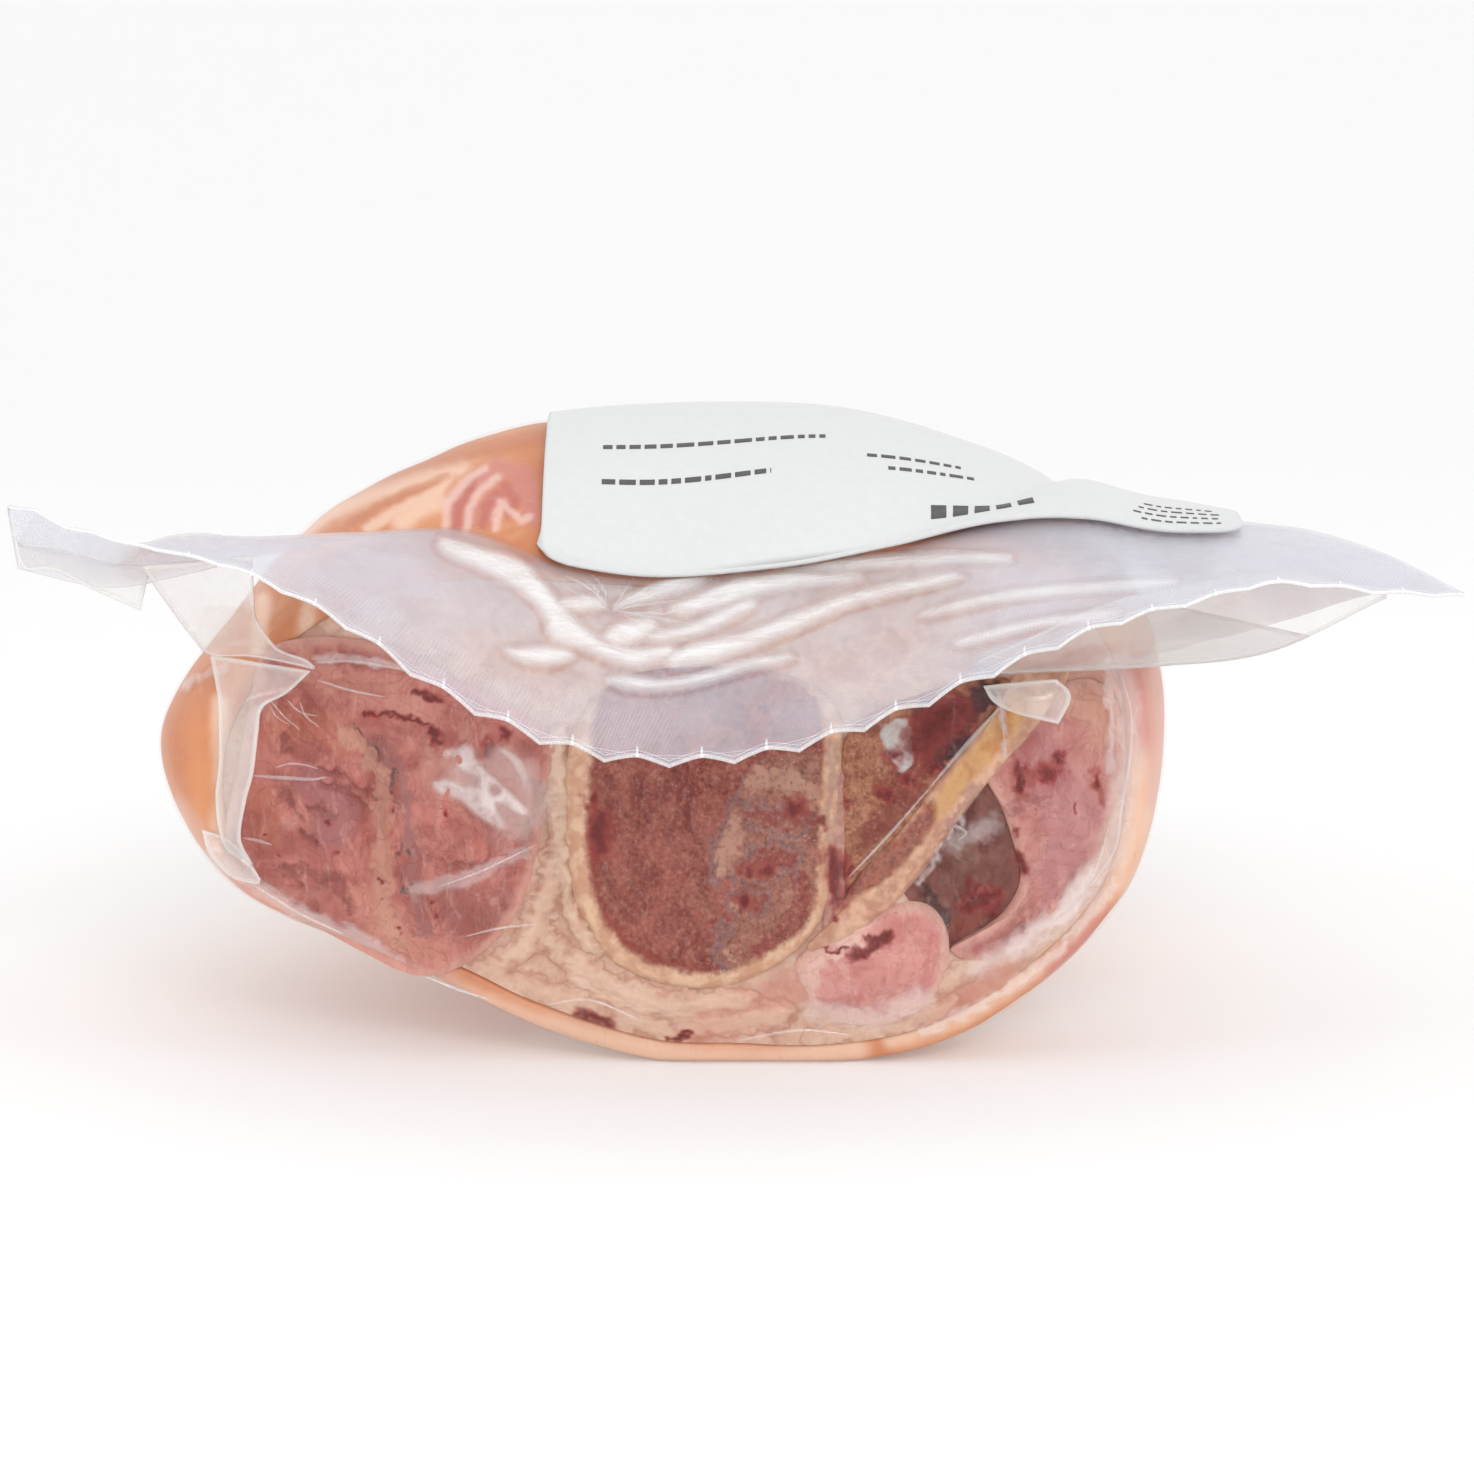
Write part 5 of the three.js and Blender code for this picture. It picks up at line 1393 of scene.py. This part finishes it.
def pinch_wrinkles():
    """Two fans of short bent lines, most to the right and up, some back to the left and up."""
    draw = np.random.default_rng(19)
    lines = []
    for low, high, count, reach in ((-18, 38, 15, 13), (115, 165, 7, 9)):
        for angle in np.radians(np.linspace(low, high, count) + draw.normal(0, 2.5, count)):
            start, length = draw.uniform(0.3, 2.5), reach * draw.uniform(0.35, 1.0)
            way = np.array([math.cos(angle), math.sin(angle)])
            bend = np.array([-way[1], way[0]]) * draw.normal(0, 0.05) * length
            first = np.array(PINCH) + way * start
            line = [first, first + way * length / 2 + bend, first + way * length]
            lines.append((line, draw.uniform(0.08, 0.16)))
    return lines


many_strands("mouth_wrinkles", pinch_wrinkles(), crease_film, 0.8, on_mouth)

# %% [markdown]
# ## Slack film
#
# Where the flat bag leaves the round meat it stands off in tents and pockets. Each is a ruled
# sheet: straight lines between two curves, bellied a little. The curves are lists of a few points.
# Cloth simulation could drape them, but film this stiff hangs in nearly straight lines anyway.

# %% Ruled sheets
SLACK_THICKNESS = 0.35


def ruled(left, right, columns=40, rows=60, belly=0.0):
    """Straight lines from one curve to the other; the belly pushes the middle towards +y."""
    a, b = spline(left, rows), spline(right, rows)
    u = np.linspace(0, 1, columns)[None, :, None]
    surface = mix(a[:, None], b[:, None], u)
    v = np.linspace(0, 1, rows)[:, None]
    surface[..., 1] += belly * 4 * u[..., 0] * (1 - u[..., 0]) * np.sin(v * math.pi)
    return surface


def slack_haze(r):
    """Light haze with streaks, and whiter towards the sheet's rims."""
    streak = r.scaled(r.noise(6, 5.0, 0.65, 1.0, r.place((1, 1, 0.4))), 0.16, 0.11)
    return r.math("ADD", streak, r.step(r.field("to_rim"), 0.0, 1.0, 0.3, 0.0))


def slack_detail(r):
    """Soft crumple."""
    return r.bump(r.noise(4, 4.0, 0.6, 1.5), 0.5, 0.5)


def rim_field(surface):
    """Distance in mm from each point to the nearest rim of its grid, along rows and columns."""
    rows, columns, _ = surface.shape
    width = np.linalg.norm(np.diff(surface, axis=1), axis=-1).sum(1)[:, None]
    height = np.linalg.norm(np.diff(surface, axis=0), axis=-1).sum(0)[None, :]
    u = np.linspace(0, 1, columns)[None, :]
    v = np.linspace(0, 1, rows)[:, None]
    return np.minimum(np.minimum(u, 1 - u) * width, np.minimum(v, 1 - v) * height)


slack = film_material("slack_film", tone(244, 240, 237), slack_haze, 0.03, 0.2, 0.12, slack_detail)
TENT_LEFT = [(-72.5, -20, 76.5), (-67.1, -8, 64.8), (-64.8, -3, 61.3), (-58.3, -4, 61.1),
    (-49.8, -6, 59.7)]
TENT_RIGHT = [(-56.5, -25, 78.5), (-56.8, -20, 71.6), (-57.1, -12, 67.3), (-54.8, -8, 62.9),
    (-51.1, -7, 61.2), (-49.6, -6.2, 59.9)]
FIN_LEFT = [(-65, -2.5, 61.2), (-64.2, -0.5, 54.2), (-64.2, -0.5, 45.3), (-64.8, -0.5, 39.4),
    (-63.7, -0.8, 33), (-60, -2.5, 30.6)]
FIN_RIGHT = [(-50.2, -6, 59.4), (-53.7, -5.5, 56.2), (-57.3, -5.5, 54.1), (-58.1, -5.5, 50.3),
    (-58.9, -5.5, 44.5), (-60.1, -5.2, 40.2), (-61, -4.5, 34.6), (-59.4, -3, 30.3)]
EAR_TOP = [(-91.4, -7, 77.5), (-85, -8, 77), (-79, -9, 75.5), (-72.5, -10, 75)]
EAR_LOW = [(-91, -14, 79.8), (-89.6, -15, 75.6), (-85.5, -15, 75.4), (-79.9, -15, 72.6),
    (-73.3, -15, 69.6)]
CRUMPLE_LEFT = [(-67.2, 2.0, 34.6), (-65.8, -0.5, 31.5), (-62.6, -1.5, 28.4), (-58.6, -2.0, 27.4)]
CRUMPLE_RIGHT = [(-63.8, 0.0, 34.0), (-61.6, -1.6, 32.6), (-59.8, -2.4, 30.6), (-58.3, -2.4, 28.2)]
HUMP_TOP = [(-75.2, 0, 76.8), (-70.9, 0, 78.1), (-67.1, 0, 78.5), (-64.0, 0, 78.3), (-60.2, 0, 77.4)]
HUMP_LOW = [(-75.2, 0, 75.6), (-70.9, 0, 75.6), (-67.1, 0, 75.6), (-64.0, 0, 75.6), (-60.2, 0, 75.6)]


def slack_sheet(name, surface):
    """One sheet of slack film, which knows how far each point is from its rim."""
    plate(name, surface, SLACK_THICKNESS, slack, "film", {"to_rim": rim_field(surface)})


for name, left_curve, right_curve, belly in (("hump", HUMP_TOP, HUMP_LOW, 0.2),
                                             ("tent", TENT_LEFT, TENT_RIGHT, 2.0),
                                             ("fin", FIN_LEFT, FIN_RIGHT, 0.8),
                                             ("crumple", CRUMPLE_LEFT, CRUMPLE_RIGHT, -0.8),
                                             ("ear_fold", EAR_TOP, EAR_LOW, 0.5)):
    slack_sheet(name, ruled(left_curve, right_curve, belly=belly))

# %% [markdown]
# At the right the film stands off the meat and holds air. Two sheets make this pocket: a front that
# hangs from the mouth seal, and a floor that runs from the lower fold back to the meat.

# %% Pocket under the right end, and its small loose flap
# the pocket's lower fold: x, y, z
POCKET = np.array([[44, -9, 59.4], [72, -8, 60.6], [87, -10, 63], [102, -18, 71.8]])
FOLD_Y, FOLD_Z = 1, 2
POCKET_TOP_SHARE = 0.9       # how far out on the mouth seal the pocket hangs
POCKET_UNDER_SEAL = 0.3
POCKET_BELLY = 0.6
FLOOR_RIGHT, MEAT_RIGHT = 92, 70


def pocket_front(columns=110, rows=30):
    """From the pocket's lower fold up to the underside of the mouth seal, with a soft belly."""
    x = np.linspace(POCKET[0, 0], POCKET[-1, 0], columns)[None, :]
    v = np.linspace(0, 1, rows)[:, None]
    top = mouth_point(x, np.full_like(x, POCKET_TOP_SHARE))
    y = mix(along(POCKET, FOLD_Y, x), top[..., 1], v)
    z = mix(along(POCKET, FOLD_Z, x), top[..., 2] - POCKET_UNDER_SEAL, v)
    points = np.stack(np.broadcast_arrays(x, y, z), -1)
    belly = POCKET_BELLY * ripples(points, 14, 41) * np.sin(v * math.pi)
    return points + np.array([0, 1, 0]) * belly[..., None]


def pocket_floor(columns=80, rows=30):
    """From the lower fold back to the meat, drawn in towards it."""
    x = np.linspace(POCKET[0, 0], FLOOR_RIGHT, columns)[None, :]
    v = np.linspace(0, 1, rows)[:, None]
    u = np.linspace(0, 1, columns)[None, :]
    y = mix(along(POCKET, FOLD_Y, x), mix(6, 34, u), v)
    z = along(POCKET, FOLD_Z, x) - v
    return np.stack(np.broadcast_arrays(mix(x, np.minimum(x, MEAT_RIGHT), v), y, z), -1)


slack_sheet("pocket_front", pocket_front())
slack_sheet("pocket_floor", pocket_floor())
FLAP_LEFT = [(46.0, -9.5, 57.8), (47.5, -9.8, 55.6), (50.5, -10, 54.0)]
FLAP_RIGHT = [(56.5, -9.5, 58.8), (58.5, -9.8, 56.4), (56.8, -10, 52.4)]
slack_sheet("flap", ruled(FLAP_LEFT, FLAP_RIGHT, 30, 24, -1.2))

# %% [markdown]
# ## The tail of the bag
#
# Past the narrow end the two films lie flat on each other and end in the straight factory seal.
# This side isn't in the picture, so it is finished as such bags are: a drooping sheet with soft
# waves, wrinkles that run from the meat to the corners, and a welded strip along the end.

# %% Tail sheet
TAIL_START, TAIL_END = 66.0, 187.0
TAIL_HALF_WIDTH, TAIL_ROOT_HALF_WIDTH, TAIL_SPREAD = 73.0, 60.0, 80.0
TAIL_DROOP, TAIL_WAVE, TAIL_WAVE_LENGTH = 12.0, 2.6, 49.0
TAIL_THICKNESS = 0.4
DROOP_START = MEAT_LENGTH * 0.8
# wrinkles that fan out from a point on the axis: its y, their number per radian, height, and the
# y and half length of the stretch where they show
FAN_FROM, FAN_RATE, FAN_HEIGHT, FAN_AT, FAN_REACH = 100, 26, 0.5, 150, 26


def tail_sheet(columns=220, rows=150):
    """Level sheet at the body's middle height that spreads, droops and waves towards its end."""
    u = np.linspace(0, 1, columns)[None, :]
    y = mix(TAIL_START, TAIL_END, np.linspace(0, 1, rows))[:, None]
    spread = smooth((y - TAIL_START) / TAIL_SPREAD)
    x = mix(-1, 1, u) * mix(TAIL_ROOT_HALF_WIDTH, TAIL_HALF_WIDTH, spread)
    taper = smooth((y - TAPER_START) / (MEAT_LENGTH - TAPER_START))
    middle = CORE_HEIGHT * mix(1, NARROW_HEIGHT_SHARE, taper)
    past = smooth((y - DROOP_START) / (TAIL_END - DROOP_START))
    wave = TAIL_WAVE * np.sin(x / TAIL_WAVE_LENGTH * TURN + 0.6) * past
    z = middle - TAIL_DROOP * past + wave
    fan = np.sin(np.arctan2(x, y - FAN_FROM) * FAN_RATE + 1.3 * np.sin(y / 17))
    fan = fan * np.exp(-((y - FAN_AT) / FAN_REACH) ** 2)
    points = np.stack(np.broadcast_arrays(x + NARROW_DRIFT * taper, y, z + FAN_HEIGHT * fan), -1)
    to_end = np.broadcast_to(TAIL_END - y, points.shape[:2])
    return points, {"to_end": to_end, "to_rim": rim_field(points)}


def tail_haze(r):
    """Milk with bright grains, whiter in the welded strip, and a line where the weld begins."""
    strip = r.step(r.field("to_end"), 9.0, 9.8, 0.14, 0.0)
    line = r.line(r.field("to_end"), 9.6, 0.1, 0.5, 0.25)
    rim = r.step(r.field("to_rim"), 0.2, 0.7, 0.3, 0.0)
    milk = r.scaled(r.noise(8, 5.0, 0.6), 0.14, 0.1)
    grain = r.step(r.noise(0.5, 3.0, 0.7), 0.6, 0.72, 0.0, 0.08)
    return r.math("ADD", r.math("ADD", milk, grain), r.math("ADD", strip, r.math("ADD", line, rim)))


tail, tail_fields = tail_sheet()
tail_film = film_material("tail_film", tone(244, 242, 244), tail_haze, 0.04, 0.2, 0.14, weld_detail)
plate("tail", tail, TAIL_THICKNESS, tail_film, "film", tail_fields)

# %% [markdown]
# ## The label
#
# The paper bridges the mouth seal and the meat behind it. Its height is a softened maximum of the
# two surfaces, as in the solid. The print is neutral: rows of short grey bars, no letters.

# %% Label paper
LABEL_LEFT, LABEL_RIGHT, LABEL_DEPTH, LABEL_FRONT = -17.6, 84.0, 56.0, -1.5
LABEL_THICKNESS, LABEL_GAP, LABEL_CORNER = 0.6, 0.45, 5.0
LABEL_SHARPNESS = 1.5     # of the softened maximum; higher follows the two surfaces closer


def body_top(x, y):
    """Height of the body over a point of the plan: the upper half of the ring at that depth is
    sampled, and the height is read where the ring passes over x."""
    angle = np.linspace(0, math.pi, 161)
    ring = body_point(angle[None, :], np.maximum(y, 0).reshape(-1, 1))
    over = ring[..., 0] - x.reshape(-1, 1)
    passes = (over[:, :-1] * over[:, 1:]) <= 0
    i = np.argmax(passes, axis=1)
    row = np.arange(len(i))
    t = over[row, i] / (over[row, i] - over[row, i + 1] + 1e-12)
    height = np.where(passes.any(1), mix(ring[row, i, 2], ring[row, i + 1, 2], t), 0).reshape(x.shape)
    return np.where(y < 0, 0, height)


def mouth_top(x, y):
    """Height of the mouth seal's upper side over a point of the plan."""
    root, edge = along(MOUTH, ROOT_Y, x), along(MOUTH, EDGE_Y, x)
    v = (root - y) / (root - edge)
    here, ahead = mouth_point(x, v)[..., 2], mouth_point(x, v + 0.02)[..., 2]
    slope = (ahead - here) / (0.02 * (root - edge))
    height = here + SOLID_SHEET / 2 * np.sqrt(1 + slope * slope)
    return np.where((v < -0.08) | (v > 1), 0, height)


def pack_top(x, y):
    """Softened maximum of both heights: log of the sum of their exponentials."""
    a, b = body_top(x, y), mouth_top(x, y)
    top = np.maximum(a, b)
    total = np.exp((a - top) * LABEL_SHARPNESS) + np.exp((b - top) * LABEL_SHARPNESS)
    return top + np.log(total) / LABEL_SHARPNESS


def label_patch(x0, x1, v0, v1, columns, rows):
    """Points of the paper between two x and two shares of its depth, round at the corners."""
    x = np.linspace(x0, x1, columns)[None, :] * np.ones((rows, 1))
    v = np.linspace(v0, v1, rows)[:, None] * np.ones((1, columns))
    from_end = np.minimum(x - LABEL_LEFT, LABEL_RIGHT - x)
    inset = np.maximum(0, LABEL_CORNER - from_end)
    cut = LABEL_CORNER - np.sqrt(np.maximum(0, LABEL_CORNER ** 2 - inset ** 2))
    y = mix(LABEL_FRONT + cut, LABEL_FRONT + LABEL_DEPTH - cut, v)
    return np.stack([x, y, pack_top(x, y)], -1)


def raised(surface, height):
    """The surface lifted along its normals, towards +z."""
    normal = normals_of(surface)
    normal *= np.sign(normal[..., 2:3])
    return surface + normal * height


def paper_material():
    """Coated white paper under film: faint fibres, a soft shine."""
    r = Recipe("paper", Roughness=0.5, Coat_Weight=0.3, Coat_Roughness=0.15)
    r.set(Base_Color=r.blend(r.noise(1.5, 5.0, 0.6), tone(210, 211, 211), tone(220, 221, 221)))
    r.set(Normal=r.bump(r.noise(12, 3.0, 0.5, 0.5), 0.5, 0.3))
    return r.material


label_sheet = raised(label_patch(LABEL_LEFT, LABEL_RIGHT, 0, 1, 180, 100), LABEL_GAP + LABEL_THICKNESS / 2)
plate("label_paper", label_sheet, LABEL_THICKNESS, paper_material(), "label", node="label")


# %% [markdown]
# Ink has hardly any thickness. Bars of 0.05 mm, lifted just off the paper, stay clean and never
# flicker against it.

# %% Neutral print
# rows of bars: x from, x to, share of the depth, height as such a share, longest bar
PRINT_ROWS = [(-9, 16, 0.30, 0.02, 2.6), (-9, 24, 0.46, 0.02, 2.6), (30, 44, 0.36, 0.016, 2.2),
    (33, 46, 0.30, 0.016, 2.2), (69, 81, 0.05, 0.012, 1.6), (68, 81, 0.10, 0.012, 1.6),
    (69, 81, 0.15, 0.012, 1.6), (70, 80, 0.20, 0.012, 1.6)]
BAR_SPACE = 0.6
INK_LIFT, INK_THICKNESS = 0.04, 0.05


def print_rows():
    """Bars as (x from, x to, share of depth from, to): seeded lengths in straight rows, and five
    short blocks in one more row."""
    draw = np.random.default_rng(7)
    bars = []
    for x_from, x_to, v, high, longest in PRINT_ROWS:
        x = x_from
        while x < x_to:
            length = draw.uniform(0.35, 1.0) * longest
            bars.append((x, min(x + length, x_to), v, v + high))
            x += length + BAR_SPACE
    for k in range(5):
        bars.append((39 + 3.2 * k, 41.2 + 3.2 * k, 0.09, 0.15))
    return bars


def print_material():
    """Dark grey ink, slightly uneven."""
    r = Recipe("ink", Roughness=0.6)
    r.set(Base_Color=r.blend(r.noise(0.8, 3.0), tone(70, 70, 72), tone(96, 96, 98)))
    return r.material


points, quads, first = [], [], 0
for x0, x1, v0, v1 in print_rows():
    bar = raised(label_patch(x0, x1, v0, v1, 6, 3), LABEL_GAP + LABEL_THICKNESS + INK_LIFT)
    bar_points, bar_quads = plate_arrays(bar, INK_THICKNESS)
    points.append(bar_points)
    quads.append(bar_quads + first)
    first += len(bar_points)
make_piece("label_print", np.concatenate(points), np.concatenate(quads), np.zeros((0, 3), int),
           print_material(), "label")

# %% [markdown]
# ## Floor, light and camera
#
# A plain pale sweep, a white surround and three large soft lamps: one high in front for the long
# gleams on the film, one from the left and one from the right. The camera looks level along +y and
# ten degrees down.

# %% Stage
FLOOR_HALF_WIDTH, FLOOR_FRONT, FLOOR_BACK, FLOOR_CURVE, WALL_TOP = 1.6, -1.4, 0.7, 0.5, 2.0  # metres
FLOOR_DROP = 0.0003
FLOOR_TONE, FLOOR_GLOW = 0.74, 0.2
ROOM_FRONT, ROOM_BACK = 0.75, 1.05
LAMP_AIM = (0, 0, 0.04)


def sweep_stage():
    """A floor that curves up into a wall behind the pack, far outside the frame."""
    u = np.linspace(-FLOOR_HALF_WIDTH, FLOOR_HALF_WIDTH, 3)
    profile = [(FLOOR_FRONT, 0.0), (FLOOR_BACK, 0.0)]
    for t in np.linspace(0.1, math.pi / 2, 12):
        profile.append((FLOOR_BACK + FLOOR_CURVE * math.sin(t), FLOOR_CURVE - FLOOR_CURVE * math.cos(t)))
    profile.append((FLOOR_BACK + FLOOR_CURVE, WALL_TOP))
    points = np.array([[x, y, z - FLOOR_DROP] for y, z in profile for x in u])
    faces = grid_faces(len(profile), len(u), False)
    mesh = bpy.data.meshes.new("sweep")
    mesh.from_pydata(points.tolist(), [], faces[:, ::-1].tolist())
    mesh.polygons.foreach_set("use_smooth", np.ones(len(faces), bool))
    paint = Recipe("sweep", Base_Color=(FLOOR_TONE, FLOOR_TONE, FLOOR_TONE, 1), Roughness=0.9,
                   Emission_Color=(1, 1, 1, 1), Emission_Strength=FLOOR_GLOW)
    mesh.materials.append(paint.material)
    sweep = bpy.data.objects.new("sweep", mesh)
    bpy.context.scene.collection.objects.link(sweep)


def lamp(name, at, size, power):
    """A rectangular soft lamp that looks at the pack."""
    light = bpy.data.lights.new(name, "AREA")
    light.shape = "RECTANGLE"
    light.size, light.size_y = size
    light.energy = power
    holder = bpy.data.objects.new(name, light)
    holder.location = at
    holder.rotation_euler = (Vector(LAMP_AIM) - Vector(at)).to_track_quat("-Z", "Y").to_euler()
    bpy.context.scene.collection.objects.link(holder)


def surround_light():
    """A white room, dimmer behind the camera: strength falls with how far a direction points
    towards -y, so that the film's mirror stays clear over the sawn face."""
    room = bpy.data.worlds.new("surround")
    room.use_nodes = True
    nodes, links = room.node_tree.nodes, room.node_tree.links
    way = nodes.new("ShaderNodeTexCoord")
    axes = nodes.new("ShaderNodeSeparateXYZ")
    links.new(way.outputs["Generated"], axes.inputs[0])
    fade = nodes.new("ShaderNodeMapRange")
    fade.interpolation_type = "SMOOTHSTEP"
    for socket, value in zip(fade.inputs[1:5], (-1.0, 0.1, ROOM_FRONT, ROOM_BACK)):
        socket.default_value = value
    links.new(axes.outputs["Y"], fade.inputs[0])
    links.new(fade.outputs[0], nodes["Background"].inputs["Strength"])
    nodes["Background"].inputs["Color"].default_value = (1, 1, 1, 1)
    bpy.context.scene.world = room


sweep_stage()
surround_light()
lamp("front", (0.25, -1.15, 0.62), (0.55, 0.3), 3.6)
lamp("left", (-0.95, -0.45, 0.5), (0.35, 0.6), 1.7)
lamp("right", (0.95, -0.35, 0.55), (0.35, 0.6), 1.5)
bpy.context.scene.view_settings.view_transform = "Standard"

# %% [markdown]
# The width of the frame at the aim and the camera's distance from it give the focal length.

# %% Camera
SENSOR_WIDTH = 36.0


def add_camera():
    """A camera at the photograph's angle; the lens follows from the frame's width at the aim."""
    at = Vector((CAMERA_AT + DRAWING_ZERO) * MM)
    aim = Vector((CAMERA_AIM + DRAWING_ZERO) * MM)
    camera = bpy.data.cameras.new("camera")
    camera.sensor_width = SENSOR_WIDTH
    camera.lens = SENSOR_WIDTH * (aim - at).length / (IMAGE_WIDTH_AT_AIM * MM)
    holder = bpy.data.objects.new("camera", camera)
    holder.location = at
    holder.rotation_euler = (aim - at).to_track_quat("-Z", "Y").to_euler()
    bpy.context.scene.collection.objects.link(holder)
    bpy.context.scene.camera = holder
    print("lens", round(camera.lens, 1), "mm")


add_camera()

# %% Sizes, and the end
print("triangles in all", sum(PIECES.values()))
